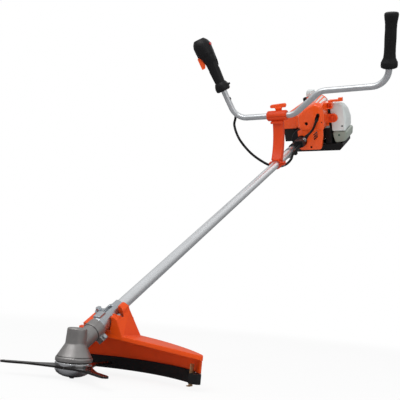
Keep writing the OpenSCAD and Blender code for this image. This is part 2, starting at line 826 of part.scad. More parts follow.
// Two screws hold the shells together, and two pins carry the trigger and the lockout lever.
module control_fasteners() color(steel) at_control() {
  for (p = shell_screws) translate([p[0], 0, p[1]]) rotate([90, 0, 0])
    cylinder(d = screw_d - 0.2, h = 20, center = true);
  for (p = [trigger_pivot, lockout_pivot]) translate([p[0], 0, p[1]]) rotate([90, 0, 0])
    cylinder(d = pin_d, h = 42, center = true);
}

module throttle_trigger() color(orange) at_control() difference() {
  union() {
    side_plate(trigger_w) polygon([
      [8, 259], [13, 257], [22, 249], [24, 228], [28, 220], [36, 216], [44, 219],
      [50, 230], [51, 243], [46, 257], [34, 267], [20, 270], [12, 270]]);
    translate([trigger_pivot[0], 0, trigger_pivot[1]]) rotate([90, 0, 0])
      cylinder(r = 6, h = trigger_w, center = true);
  }
  translate([trigger_pivot[0], 0, trigger_pivot[1]]) rotate([90, 0, 0])
    cylinder(d = pin_d + 2 * shaft_gap, h = 60, center = true);
}

// A plate with its outline in X and Z, centred on Y.
module side_plate(w) {
  rotate([90, 0, 0]) linear_extrude(w, center = true) children();
}

module lockout_lever() color(black) at_control() difference() {
  union() {
    side_plate(lockout_w) polygon([
      [-12, 268], [-17, 262], [-17, 240], [-17, 216], [-20, 210], [-23, 211],
      [-26, 226], [-27, 250], [-28, 266], [-23, 276], [-15, 277]]);
    translate([lockout_pivot[0], 0, lockout_pivot[1]]) rotate([90, 0, 0])
      cylinder(r = 5, h = lockout_w, center = true);
  }
  translate([lockout_pivot[0], 0, lockout_pivot[1]]) rotate([90, 0, 0])
    cylinder(d = pin_d + 2 * shaft_gap, h = 60, center = true);
}

module stop_button() color("#d3222a") at_control() at_button() {
  translate([0, 0, head_r - 8]) cylinder(d = button_d, h = 12);
  translate([0, 0, head_r - 7]) cylinder(d = button_d + 2, h = 3.4);
}

/* ---------- Throttle cable ---------- */
// Routes are in the shaft's frame: across, along the tube, and square above it.
cable_back = bar_r + cable_r + 0.1;
cable_low = 24;
cable_lead = [sin(splay_right), 0, -cos(splay_right)];
cable_top = [-reach_right, bar_s + cable_back, clamp_v] - cable_low * cable_lead;

// The straight stretch of the cable through its holder, adjuster and boot. Distances are from the foot.
function cable_line(s) = [28 + (s - 163) * 0.154, foot_s + s, 11 + (s - 163) * 0.269];
function behind_foot(x, s, v) = [x, foot_s + s, v];

cable_route = [
  cable_top + 4 * cable_lead, behind_foot(-178, 75, 160), behind_foot(-183, 67, 138),
  behind_foot(-172, 53, 107), behind_foot(-152, 41, 74), behind_foot(-118, 38, 30),
  behind_foot(-78, 39, -4), behind_foot(-42, 37, -22), behind_foot(-14, 41, -27),
  behind_foot(10, 57, -24), behind_foot(22, 83, -13), cable_line(111), cable_line(137),
  cable_line(163), cable_line(189), cable_line(215), cable_line(241),
  behind_foot(51, 258, 42), behind_foot(60, 264, 54), behind_foot(68, 267, 70),
  behind_foot(73, 275, 84), behind_foot(76, 291, 91)];
ring_sides = 8;
rings_per_step = 3;

// A smooth curve through p[1] and p[2], between them at t from 0 to 1.
function smooth_point(p, t) = 0.5 * (2 * p[1] + (p[2] - p[0]) * t
  + (2 * p[0] - 5 * p[1] + 4 * p[2] - p[3]) * t * t
  + (3 * p[1] - p[0] - 3 * p[2] + p[3]) * t * t * t);

function smooth_route(p) = let (last = len(p) - 1) [
  for (i = [0 : last - 1], k = [0 : rings_per_step - 1])
    smooth_point([p[max(i - 1, 0)], p[i], p[i + 1], p[min(i + 2, last)]], k / rings_per_step),
  p[last]];

function unit(v) = v / norm(v);

// The direction of the route at ring i.
function heading(p, i) = unit(p[min(i + 1, len(p) - 1)] - p[max(i - 1, 0)]);

// Each ring's side direction is the last one's, made square to the new heading.
function ring_sides_of(p, i = 0, side = [0.3, 0.2, 1]) = i >= len(p) ? [] :
  let (ahead = heading(p, i), across = unit(side - ahead * (side * ahead)))
  concat([across], ring_sides_of(p, i + 1, across));

module swept_tube(p, r) {
  sides = ring_sides_of(p);
  n = len(p);
  rings = [for (i = [0 : n - 1], k = [0 : ring_sides - 1])
    p[i] + r * (cos(k * 360 / ring_sides) * sides[i]
      + sin(k * 360 / ring_sides) * cross(heading(p, i), sides[i]))];
  walls = [for (i = [0 : n - 2], k = [0 : ring_sides - 1]) let (next = (k + 1) % ring_sides)
    [i * ring_sides + k, (i + 1) * ring_sides + k, (i + 1) * ring_sides + next, i * ring_sides + next]];
  first = [for (k = [0 : ring_sides - 1]) k];
  last = [for (k = [ring_sides - 1 : -1 : 0]) (n - 1) * ring_sides + k];
  polyhedron(points = rings, faces = concat([first], walls, [last]), convexity = 6);
}

module throttle_cable() color(black) on_shaft()
  swept_tube(concat([cable_top + 0.3 * cable_lead, cable_top + 1.8 * cable_lead], smooth_route(cable_route)), cable_r);

// The stretch of cable behind the bar, from the control grip's collar to the free loop.
module bar_cable() color(black) at_clamp() translate([-reach_right, 0, 0]) rotate([0, -splay_right, 0]) {
  translate([0, cable_back, cable_low]) cylinder(r = cable_r, h = collar_start - cable_low - seat_gap);
  translate([0, 0, 74]) difference() {
    cylinder(r = bar_r + 2, h = 9);
    translate([0, 0, -1]) cylinder(r = bar_r + sleeve_gap, h = 11);
    translate([0, -20, 4]) cube([60, 40, 20], center = true);
  }
}

holder_s = foot_s + 187;
holder_len = 30;

module holder_bore() {
  along_cable(155, 215) cylinder(r = cable_r + seat_gap, h = 60);
}

module cable_holder() color(black) on_shaft() difference() {
  union() {
    rod(tube_r + 6, holder_s - holder_len / 2, holder_s + holder_len / 2);
    block([6, holder_s - 12, 4], [41, holder_s + 13, 30]);
    block([-8, holder_s - 9, -tube_r - 14], [8, holder_s + 9, -tube_r]);
  }
  rod(tube_r + sleeve_gap, holder_s - 40, holder_s + 40);
  block([-1, holder_s - 40, -40], [1, holder_s + 40, -5]);
  holder_bore();
}

// Turns Z along the straight stretch of the cable, from one distance to another.
module along_cable(from, to) {
  run = cable_line(to) - cable_line(from);
  translate(cable_line(from)) rotate([0, acos(run[2] / norm(run)), atan2(run[1], run[0])]) children();
}

module cable_adjuster() color(silver) on_shaft() along_cable(203, 215) difference() {
  union() {
    cylinder(r = cable_r + 3, h = 13);
    translate([0, 0, 4]) cylinder(r = cable_r + 5.5, h = 4.5, $fn = 6);
  }
  translate([0, 0, -1]) cylinder(r = cable_r + seat_gap, h = 20);
}

module cable_boot() color(black) on_shaft() along_cable(216, 235) difference() {
  union() {
    cylinder(r = cable_r + 2, h = 22.4);
    for (i = [0 : 3]) translate([0, 0, 1 + i * 6]) cylinder(r = cable_r + 4 - i * 0.3, h = 3.4);
  }
  translate([0, 0, -1]) cylinder(r = cable_r + 0.8, h = 40);
}

/* ---------- Harness eye ---------- */
module harness_eye() color(silver) on_shaft() translate([0, eye_s, 0]) difference() {
  union() {
    rod(tube_r + 3.4, -11, 11);
    translate([-eye_x, 0, -eye_t / 2]) cylinder(d = eye_d + 12, h = eye_t);
    block([-eye_x, -9, -eye_t / 2], [-tube_r, 9, eye_t / 2]);
    translate([0, 0, -tube_r - 2]) cube([12, 18, 14], center = true);
  }
  rod(tube_r + sleeve_gap, -30, 30);
  translate([-eye_x, 0, -20]) cylinder(d = eye_d, h = 40);
  block([-0.8, -30, -40], [0.8, 30, -5]);
  translate([0, 0, -tube_r - 5.5]) rotate([0, 90, 0]) cylinder(d = 4, h = 30, center = true);
}

/* ---------- Clutch ---------- */
drum_bearing_y = 28;
drum_y = 50;
drum_r = 35;
drum_len = 24;
crank_nose_y = 56;
nose_r = 20;
nose_len = 38;

module clutch_housing() color(black) on_engine() difference() {
  union() {
    rotate([-90, 0, 0]) rotate_extrude() polygon([
      [0, 0], [nose_r - 1.5, 0], [nose_r, 1.5], [nose_r, nose_len], [clutch_r - 9, 44],
      [clutch_r - 2, 46], [clutch_r, 49], [clutch_r, clutch_len - 3], [clutch_r - 0.5, clutch_len], [0, clutch_len]]);
  }
  rod(tube_r + sleeve_gap, -1, tube_depth + 0.5);
  rod(11, -1, 60);
  rod(pinion_bearing_r, drum_bearing_y, 60);
  rod(drum_r + 5, drum_y - 3, clutch_len + 1);
}

module clutch_drum() color(steel) on_engine() difference() {
  union() {
    rod(drum_r, drum_y, drum_y + drum_len);
    rod(spindle_top_r, drum_bearing_y - 1, drum_y + 1);
  }
  rod(drum_r - 3, drum_y + 3, drum_y + drum_len + 1);
  rod(drive_r + 0.03, 0, drum_y + 10);
  for (a = [0 : 60 : 300]) rotate([0, a, 0]) translate([0, 0, 22]) rod(4, 40, 60);
}

module clutch_shoes() color(cast_grey) on_engine() difference() {
  rod(drum_r - 5, crank_nose_y + 1, crank_nose_y + 15);
  rod(8.02, 0, 100);
  for (a = [0, 180]) rotate([0, a, 0]) {
    block([-1.2, 0, 12], [1.2, 100, 40]);
    translate([17, 0, 8]) rod(4.5, 0, 100);
    translate([-17, 0, 8]) rod(4.5, 0, 100);
  }
  difference() {
    rod(14, 0, 100);
    rod(11, 0, 100);
    block([-5, 0, -20], [5, 100, 20]);
  }
}

/* ---------- Engine block ---------- */
case_r = 46;
crank_end = clutch_len + crankcase_len;
flange_t = 6;
bore_y = clutch_len + crankcase_len / 2;
deck_z = 52;
cylinder_top = 118;
crank_bearing_r = 18;
crank_r = 9;

module crankcase() color(cast_grey) on_engine() difference() {
  union() {
    rod(case_r, clutch_len, crank_end);
    rod(starter_r, crank_end - flange_t, crank_end);
    block([-32, bore_y - 32, 0], [32, bore_y + 32, deck_z]);
    block([-26, bore_y - 26, -tray_low + 3.7], [26, bore_y + 26, -30]);
  }
  rod(33, clutch_len + 20, crank_end - 20);
  rod(crank_bearing_r, clutch_len + 8, crank_end - 8);
  rod(crank_r + 2, clutch_len - 1, crank_end + 1);
  translate([0, bore_y, 0]) cylinder(r = 20, h = deck_z + 1);
}

module crank_bearings() color(steel) on_engine() for (y = [clutch_len + 8, crank_end - 20])
  translate([0, y, 0]) rotate([-90, 0, 0]) bearing(crank_r + shaft_gap, crank_bearing_r - 0.02, 11.9);

module crankshaft() color(steel) on_engine() {
  rod(8, crank_nose_y, clutch_len + 6);
  rod(crank_r, clutch_len + 5, bore_y - 7);
  rod(crank_r, bore_y + 7, crank_end + 22);
  for (y = [bore_y - 16, bore_y + 7]) intersection() {
    rod(30, y, y + 9);
    block([-30, y - 1, -30], [30, y + 10, 21]);
  }
  translate([0, 0, 14]) rod(7, bore_y - 8, bore_y + 8);
}

module cylinder_form() {
  cylinder(r = 26, h = cylinder_top - deck_z);
  for (i = [0 : fins - 1]) translate([0, 0, 6 + i * (cylinder_top - deck_z - 8) / fins])
    cylinder(r = fin_r, h = 2.2);
  translate([0, 0, cylinder_top - deck_z - 2]) cylinder(r1 = 26, r2 = 16, h = 7);
}

module engine_cylinder() color(silver) on_engine() translate([0, bore_y, deck_z]) difference() {
  union() {
    cylinder_form();
    translate([0, 0, 0]) cube([64, 64, 8], center = true);
    block([-fin_r - 4, -12, 18], [0, 12, 38]);
    block([0, -12, 14], [fin_r + 10, 12, 34]);
  }
  translate([0, 0, -5]) cube([70, 70, 10], center = true);
  translate([0, 0, -1]) cylinder(r = 20, h = cylinder_top - deck_z - 4);
  cylinder(r = 6.1, h = 100);
  translate([-60, 0, 28]) rotate([0, 90, 0]) cylinder(r = 8, h = 60);
  translate([0, 0, 24]) rotate([0, 90, 0]) cylinder(r = 7, h = 80);
}

module spark_plug() color(silver) on_engine() translate([0, bore_y, cylinder_top + 5]) {
  translate([0, 0, -16]) cylinder(r = 6, h = 17);
  cylinder(r = 8, h = 7, $fn = 6);
  translate([0, 0, 6]) cylinder(r1 = 9, r2 = 11, h = 22);
  translate([0, 0, 27]) cylinder(r1 = 11, r2 = 6, h = 5);
}

muffler_right = -99;

module muffler() color(black) on_engine() difference() {
  union() {
    block([muffler_right, 106, -20], [-case_r - seat_gap, 178, 74]);
    block([muffler_right + 12, bore_y - 18, 70], [-fin_r - 4.3, bore_y + 18, 84]);
    block([muffler_right + 8, 104.4, -12], [-52, 108, 60]);
    block([muffler_right + 20, 176, 8], [-60, 182, 30]);
  }
  block([muffler_right + 2, 108, -18], [-case_r - 2.3, 176, 72]);
  for (i = [0 : 3]) block([muffler_right + 24, 180, 12 + i * 4.5], [-64, 190, 14 + i * 4.5]);
}

carb_left = 97;

module carburettor() color(cast_grey) on_engine() translate([fin_r + 10.2, bore_y, deck_z + 24]) difference() {
  union() {
    block([0, -16, -17], [carb_left - fin_r - 10.4, 16, 17]);
    translate([14, 0, 16]) cylinder(r = 8, h = 8);
    translate([14, -20, 0]) rotate([-90, 0, 0]) cylinder(r = 7, h = 8);
  }
  translate([-1, 0, 0]) rotate([0, 90, 0]) cylinder(r = 7, h = 60);
}

/* ---------- Covers ---------- */
shroud_front_y = 30;
shroud_low_y = 34;
shroud_rear_y = 184;
filter_y = 110;
knob_x = 118;
knob_z = 70;
lug_top = 138;
choke_x = 115;
choke_y = 97;
shutter_x = 9;
shutter_z = 158;
rear_outline = [[-106, 31], [-106, 84], [-52, 110], [0, 144], [78, 168], [95, 156], [96, 31]];
end_outline = [[-106, 31], [-106, 74], [-52, 98], [-10, 124], [56, 146], [78, 134], [86, 31]];
mid_outline = [[-46, 36], [-46, 108], [0, 142], [76, 166], [96, 152], [98, 100], [90, 36]];
front_outline = [[4, 38], [-8, 54], [-6, 104], [22, 130], [72, 150], [98, 138], [102, 100], [96, 40]];
low_outline = [[-15, -32], [-15, 46], [92, 46], [92, 24], [77, -40], [-8, -40]];
low_rear_outline = [[-15, -40], [-15, 50], [74, 50], [74, 4], [66, -46], [-8, -48]];

// A shell's outline, drawn in by the wall.
module shell_outline(points, wall) {
  offset(delta = -wall) rounded_outline(10) polygon(points);
}

module shroud_rear(wall) {
  hull() {
    slab(100 + wall, 1) shell_outline(rear_outline, wall + 6);
    slab(112, 1) shell_outline(rear_outline, wall);
    slab(shroud_rear_y - 1 + wall, 1) shell_outline(end_outline, wall);
  }
}

module shroud_front(wall) {
  hull() {
    slab(shroud_front_y + wall, 1) shell_outline(front_outline, wall + 7);
    slab(shroud_front_y + 9 + wall, 1) shell_outline(front_outline, wall);
    slab(filter_y - 2, 1) shell_outline(mid_outline, wall);
  }
}

module shroud_low(wall) {
  hull() {
    slab(shroud_low_y + wall, 1) shell_outline(low_outline, wall + 2);
    slab(shroud_low_y + 4 + wall, 1) shell_outline(low_outline, wall);
    slab(95, 1) shell_outline(low_rear_outline, wall);
  }
}

module engine_shroud() color(orange) on_engine() difference() {
  union() {
    shroud_rear(0);
    shroud_front(0);
    shroud_low(0);
    // Lug beside the filter cover, the round tab behind its knob, and the shutter's seat.
    block([94, 84, 112], [124, filter_y - 1, lug_top]);
    translate([knob_x, 0, knob_z]) rod(filter_knob_d / 2 + 2, filter_y - 10, filter_y - seat_gap);
    block([96, filter_y - 10, knob_z - 18], [knob_x, filter_y - seat_gap, knob_z + 18]);
    block([shutter_x, 124, 138], [shutter_x + 30, 158, shutter_z]);
  }
  shroud_rear(cover_wall);
  shroud_front(cover_wall);
  shroud_low(cover_wall);
  rod(nose_r + 1, 0, 60);
  rod(clutch_r + seat_gap, shroud_low_y + cover_wall + 0.2, clutch_len);
  rod(case_r + seat_gap, clutch_len, 130);
  rod(starter_r + seat_gap, 150, crank_end + 1);
  block([-102, shroud_rear_y - 80, 20], [92, shroud_rear_y - cover_wall, 42]);
  block([60, bore_y - 17, deck_z + 6], [112, bore_y + 17, deck_z + 42]);
  block([101, 80, 116], [120, 100, 133]);
  translate([knob_x, 0, knob_z]) rod(3 + move_gap, 80, filter_y - 3);
  translate([choke_x, choke_y, lug_top - 8]) cylinder(r = 2.4 + shaft_gap, h = 20);
  // Round hole, small hole, cable slot and vents in the front.
  translate([29, 0, 71]) rod(6, 0, 70);
  translate([92, 0, 72]) rod(2.4, 0, 80);
  translate([37, 0, -28]) rod(4, 0, 60);
  hull() for (p = [[72, 82], [80, 102]]) translate([p[0], 0, p[1]]) rod(6.5, 10, 62);
  for (i = [0 : 2]) translate([52, 20, 2 + i * 9]) rotate([0, -38, 0]) block([0, 0, 0], [22, 30, 3.4]);
  // Opening for the spark plug's boot.
  translate([0, bore_y, 100]) cylinder(r = 14, h = 80);
  // Cooling slots in the top.
  for (i = [0 : 4]) translate([32 + i * 9, bore_y, 120]) cube([4, 44, 100], center = true);
}

module winter_shutter() color("#cfd3d0") on_engine() translate([shutter_x, 124, shutter_z + 0.2]) {
  hull() {
    cube([30, 34, 12]);
    translate([3, 3, 12]) cube([24, 28, 12]);
  }
  for (x = [8, 18]) translate([x, -2, 4]) cube([4, 4, 12]);
}

cover_outline = [[102, 11], [103, 104], [112, 123], [133, 136], [152, 130], [162, 110], [166, 62], [161, 11]];
cover_end_outline = [[102, 11], [102, 82], [107, 100], [120, 111], [138, 106], [153, 84], [161, 50], [158, 11]];
tank_outline = [[102, 10.6], [161, 10.6], [164, 4], [159, -26], [147, -34], [112, -40]];
filter_end = filter_y + filter_len;
base_face = 101.6;

module filter_base() color(black) on_engine() difference() {
  union() {
    translate([(carb_left + base_face) / 2, 0, 0]) side_slab(base_face - carb_left)
      polygon([[filter_y, -44], [filter_y, 112], [filter_y + 10, 112], [filter_end - 6, 86], [filter_end - 6, -44]]);
    block([76, 106, -58], [base_face, 170, 29]);
  }
  translate([carb_left - 20, bore_y, deck_z + 24]) rotate([0, 90, 0]) cylinder(r = 7, h = 60);
  block([80, 110, -54], [96, 166, 25]);
}

module air_filter() color("#d8d3c4") on_engine() translate([base_face + seat_gap, bore_y + 14, 56]) rotate([0, 90, 0]) difference() {
  union() {
    for (a = [0 : 12 : 348]) rotate([0, 0, a]) translate([28, 0, 0]) cylinder(r = 2.4, h = 32, $fn = 16);
    cylinder(r = 28, h = 32);
    cylinder(r = 31, h = 3);
    translate([0, 0, 31]) cylinder(r = 31, h = 3);
  }
  translate([0, 0, -1]) cylinder(r = 19, h = 31);
}

module filter_cover() color(white) on_engine() difference() {
  hull() {
    slab(filter_y, 1) shell_outline(cover_outline, 5);
    slab(filter_y + 7, 1) shell_outline(cover_outline, 0);
    slab(filter_end - 9, 1) shell_outline(cover_end_outline, 0);
    slab(filter_end - 1, 1) shell_outline(cover_end_outline, 7);
  }
  for (shift = [0, 12]) translate([-shift, 0, 0]) hull() {
    slab(filter_y + cover_wall, 1) shell_outline(cover_outline, cover_wall + 5);
    slab(filter_end - cover_wall - 1, 1) shell_outline(cover_end_outline, cover_wall + 4);
  }
  translate([148, 0, 33]) rod(3.6, 0, filter_y + 9);
}

module filter_knob() color(dark_orange) on_engine() translate([knob_x, 0, knob_z]) difference() {
  union() {
    rod(filter_knob_d / 2 - 2, filter_y - 15, filter_y - 10 - move_gap);
    block([-3, filter_y - 22, -filter_knob_d / 2 + 4], [3, filter_y - 12, filter_knob_d / 2 - 4]);
    rod(3, filter_y - 12, filter_y - 4);
  }
  for (a = [0 : 30 : 330]) rotate([0, a, 0]) translate([filter_knob_d / 2 - 1, 0, 0]) rod(2, 60, filter_y);
}

module choke_lever() color(orange) on_engine() translate([choke_x, choke_y, lug_top + move_gap]) {
  cylinder(r = 8, h = 7);
  block([0, -6, 0], [choke_len - 8, 6, 8]);
  block([choke_len - 20, -6, 0], [choke_len - 4, 6, 14]);
  translate([0, 0, -7]) cylinder(r = 2.4, h = 8);
}

tray_low = 66;
tank_end = filter_end - 2;
cap_x = 133;
cap_z = -12;

module fuel_tank() color(tank_grey) on_engine() difference() {
  union() {
    slab(filter_y + 8, tank_end - filter_y - 8) shell_outline(tank_outline, 0);
    slab(filter_y + 4, 5) shell_outline(tank_outline, 2.2);
    translate([cap_x, 0, cap_z]) rod(fuel_cap_d / 2 - 3, tank_end - 2, tank_end + 6);
  }
  slab(filter_y + 9.5, tank_end - filter_y - 13) shell_outline(tank_outline, 2.7);
  translate([cap_x, 0, cap_z]) rod(fuel_cap_d / 2 - 5, tank_end - 10, tank_end + 7);
}

module fuel_cap() color(black) on_engine() translate([cap_x, tank_end + 0.6, cap_z]) difference() {
  union() {
    rod(fuel_cap_d / 2, 0, 11);
    block([-3, 8, -fuel_cap_d / 2 + 3], [3, 17, fuel_cap_d / 2 - 3]);
  }
  rod(fuel_cap_d / 2 - 3 + move_gap, -1, 6.5);
  for (a = [0 : 20 : 340]) rotate([0, a, 0]) translate([fuel_cap_d / 2 + 0.6, 0, 0]) rod(1.4, -1, 12);
}

tray_outline = [[-66, -34], [-60, -tray_low], [132, -tray_low], [146, -50], [146, -37]];
tray_hollow = [[-62.5, -30], [-57, -tray_low + 3.5], [130, -tray_low + 3.5], [142.5, -48.5], [142.5, -30]];

module base_tray() color(black) on_engine() difference() {
  union() {
    difference() {
      slab(102, 118) polygon(tray_outline);
      slab(105.5, 111) polygon(tray_hollow);
    }
    slab(filter_y - 6, 100) polygon([
      [104, -tray_low + 2], [104, -46], [112, -40.4], [130, -37.4], [130, -tray_low + 2]]);
    for (x = [-40, 40]) block([x - 6, 132, -tray_low + 2], [x + 6, 146, -50]);
  }
  rod(starter_r + seat_gap, 80, 240);
  for (x = [-20, 20]) translate([x, bore_y, -80]) cylinder(r = 3, h = 40);
}

/* ---------- Rear: flywheel and starter ---------- */
module flywheel() color(silver) on_engine() difference() {
  union() {
    rod(24, crank_end + 2, crank_end + 18);
    rod(48, crank_end + 2, crank_end + 5);
    for (a = [0 : 30 : 330]) rotate([0, a, 0]) block([-1.2, crank_end + 4, 20], [1.2, crank_end + 16, 47]);
  }
  rod(crank_r + 0.02, crank_end, crank_end + 30);
}

starter_len = 46;

module starter_housing() color(black) on_engine() difference() {
  union() {
    rotate([-90, 0, 0]) rotate_extrude() polygon([
      [0, crank_end], [starter_r, crank_end], [starter_r, crank_end + 26],
      [starter_r - 6, crank_end + 34], [38, crank_end + 36], [34, crank_end + starter_len], [0, crank_end + starter_len]]);
    block([-14, crank_end + 24, 30], [14, crank_end + starter_len, starter_r + 4]);
  }
  rod(starter_r - 6, crank_end - 1, crank_end + 24);
  rod(30, crank_end + 20, crank_end + starter_len - 3);
  for (a = [20 : 20 : 340]) rotate([0, a, 0]) block([-3, crank_end + 10, 40], [3, crank_end + 60, 50]);
  translate([0, crank_end + 35, 0]) cylinder(r = 3, h = 100);
}

module starter_grip() color(black) on_engine() translate([0, crank_end + 35, starter_r + 4 + move_gap]) {
  hull() for (side = [-1, 1]) translate([side * 22, 0, 10]) rotate([90, 0, 0])
    cylinder(r = 6, h = 14, center = true, $fn = 32);
  cylinder(r1 = 6, r2 = 9, h = 8);
  translate([0, 0, -32]) cylinder(r = 1.8, h = 34);
}

gear_head();
clamp_screws();
bevel_gear();
output_spindle();
spindle_bearings();
thrust_plate();
blade();
rider_plate();
blade_nut();
pinion();
drive_bearings();
drive_shaft();
shaft_bushes();
shaft_tube();
guard_bracket();
guard_bolts();
guard();
guard_skirt();
line_cutter();
handle_column();
foot_cap();
clamp_cap();
wing_knob();
handlebar();
plain_grip();
control_shell_front();
control_shell_rear();
control_fasteners();
throttle_trigger();
lockout_lever();
stop_button();
bar_cable();
throttle_cable();
cable_holder();
cable_adjuster();
cable_boot();
harness_eye();
clutch_housing();
clutch_drum();
clutch_shoes();
crankcase();
crank_bearings();
crankshaft();
engine_cylinder();
spark_plug();
muffler();
carburettor();
engine_shroud();
winter_shutter();
filter_base();
air_filter();
filter_cover();
filter_knob();
choke_lever();
fuel_tank();
fuel_cap();
base_tray();
flywheel();
starter_housing();
starter_grip();
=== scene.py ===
# %% [markdown]
# A petrol brush cutter, dressed for pictures and for motion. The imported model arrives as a
# fixed frame: every solid is already in its place, in metres, with the origin in the eye of the
# harness ring. X runs to the operator's left, Y to the rear along the ground, and Z up. Everything
# below adds surfaces, roundness and light to that frame, and never moves it.

# %% Load the frame
import json
import math

import bmesh
import bpy
from mathutils import Matrix, Vector

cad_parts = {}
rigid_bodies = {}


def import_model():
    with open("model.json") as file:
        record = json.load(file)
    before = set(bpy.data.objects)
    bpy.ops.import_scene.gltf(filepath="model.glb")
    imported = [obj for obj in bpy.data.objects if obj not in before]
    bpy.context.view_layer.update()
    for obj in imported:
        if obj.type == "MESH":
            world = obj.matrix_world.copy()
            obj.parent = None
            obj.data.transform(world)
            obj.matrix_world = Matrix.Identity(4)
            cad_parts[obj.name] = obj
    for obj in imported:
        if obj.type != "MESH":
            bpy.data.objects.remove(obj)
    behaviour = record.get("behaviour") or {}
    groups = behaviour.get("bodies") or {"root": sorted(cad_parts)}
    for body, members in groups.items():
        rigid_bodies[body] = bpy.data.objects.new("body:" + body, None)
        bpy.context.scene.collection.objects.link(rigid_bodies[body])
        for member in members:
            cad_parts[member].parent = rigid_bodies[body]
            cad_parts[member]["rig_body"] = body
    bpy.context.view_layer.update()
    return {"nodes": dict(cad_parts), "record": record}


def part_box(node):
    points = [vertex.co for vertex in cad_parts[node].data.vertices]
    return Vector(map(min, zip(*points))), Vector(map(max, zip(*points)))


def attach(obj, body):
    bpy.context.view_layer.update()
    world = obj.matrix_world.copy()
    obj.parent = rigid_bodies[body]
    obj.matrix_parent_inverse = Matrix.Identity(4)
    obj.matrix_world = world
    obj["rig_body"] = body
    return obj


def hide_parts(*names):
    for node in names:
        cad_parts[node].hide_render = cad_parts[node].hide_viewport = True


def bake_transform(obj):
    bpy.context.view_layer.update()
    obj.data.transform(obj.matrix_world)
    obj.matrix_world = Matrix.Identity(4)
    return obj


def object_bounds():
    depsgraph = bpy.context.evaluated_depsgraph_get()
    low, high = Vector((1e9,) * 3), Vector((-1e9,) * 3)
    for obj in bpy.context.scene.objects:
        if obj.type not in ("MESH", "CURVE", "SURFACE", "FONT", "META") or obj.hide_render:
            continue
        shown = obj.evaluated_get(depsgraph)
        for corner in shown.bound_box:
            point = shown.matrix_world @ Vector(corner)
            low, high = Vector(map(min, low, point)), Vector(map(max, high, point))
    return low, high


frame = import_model()

MM_PER_M = 1000


def linked(name, data):
    """A new object that carries the data and stands in the scene."""
    thing = bpy.data.objects.new(name, data)
    bpy.context.scene.collection.objects.link(thing)
    return thing


# %% [markdown]
# The drive tube climbs to the rear at a fixed slope, and the engine, the guard's bracket and the
# column are all square to it. One matrix says where that slope is: its Y axis runs along the tube
# and its Z axis stands square above it. Patterns and remeshing both work in this tilted frame,
# where the engine's faces are square and flat.

# %% The tube's own axes
TUBE_SLOPE = math.radians(32)
TUBE_X = 0.036
ENGINE_AT = Vector((TUBE_X, 0.0924, 0.0578))
BLADE_AT = Vector((TUBE_X, -1.1372, -0.7486))
TILT = Matrix.Rotation(TUBE_SLOPE, 4, "X")
ENGINE_FRAME = Matrix.Translation(ENGINE_AT) @ TILT
ALONG_TUBE = TILT.col[1].to_3d()
ABOVE_TUBE = TILT.col[2].to_3d()
print("the tube runs along", [round(x, 3) for x in ALONG_TUBE])

# %% [markdown]
# The camera stands low in front of the blade, a little below the engine, and looks up and along the
# tube. It is built from its turn, its height angle and its roll, so each number means one thing. A
# long lens keeps the far engine large against the near gear head.

# %% Camera
CAMERA_AT = Vector((0.899, -2.1862, -0.5826))
CAMERA_TURN = math.radians(29.578)
CAMERA_RISE = math.radians(-8.855)
CAMERA_ROLL = math.radians(5.308)
LENS_MM = 55.66
SENSOR_MM = 36

back = Vector((math.sin(CAMERA_TURN) * math.cos(CAMERA_RISE),
               -math.cos(CAMERA_TURN) * math.cos(CAMERA_RISE), math.sin(CAMERA_RISE)))
level_right = Vector((math.cos(CAMERA_TURN), math.sin(CAMERA_TURN), 0))
level_up = back.cross(level_right)
right = level_right * math.cos(CAMERA_ROLL) + level_up * math.sin(CAMERA_ROLL)
up = level_up * math.cos(CAMERA_ROLL) - level_right * math.sin(CAMERA_ROLL)

camera_data = bpy.data.cameras.new("camera")
camera_data.lens = LENS_MM
camera_data.sensor_width = SENSOR_MM
camera_data.clip_start = 0.01
camera_data.clip_end = 100
camera = linked("camera", camera_data)
camera.matrix_world = Matrix.Translation(CAMERA_AT) @ Matrix((right, up, back)).transposed().to_4x4()
bpy.context.scene.camera = camera
print("camera at", [round(x, 3) for x in CAMERA_AT])

# %% [markdown]
# A shader is a small machine of nodes, and most of this script's materials need the same few
# helpers: add a node, join two sockets, or do one sum. Naming them once keeps each material short.

# %% Node helpers
def add_node(tree, kind, **settings):
    node = tree.nodes.new(kind)
    for name, value in settings.items():
        setattr(node, name, value)
    return node


def feed(tree, source, target):
    if isinstance(source, (int, float, tuple)):
        target.default_value = source
    else:
        tree.links.new(source, target)


def sum_node(tree, operation, *values, clamp=False):
    node = add_node(tree, "ShaderNodeMath", operation=operation, use_clamp=clamp)
    for i, value in enumerate(values):
        feed(tree, value, node.inputs[i])
    return node.outputs[0]


def colour_mix(tree, amount, below, above, blend="MIX"):
    node = add_node(tree, "ShaderNodeMix", data_type="RGBA", blend_type=blend)
    feed(tree, amount, node.inputs[0])
    feed(tree, below, node.inputs[6])
    feed(tree, above, node.inputs[7])
    return node.outputs[2]


def soft_step(tree, value, low, high, out_low=0.0, out_high=1.0):
    node = add_node(tree, "ShaderNodeMapRange", interpolation_type="SMOOTHSTEP")
    for i, number in enumerate((value, low, high, out_low, out_high)):
        feed(tree, number, node.inputs[i])
    return node.outputs[0]


def noise(tree, vector, scale, detail=2.0, rough=0.5):
    node = add_node(tree, "ShaderNodeTexNoise")
    feed(tree, vector, node.inputs["Vector"])
    feed(tree, scale, node.inputs["Scale"])
    node.inputs["Detail"].default_value = detail
    node.inputs["Roughness"].default_value = rough
    return node.outputs["Fac"]


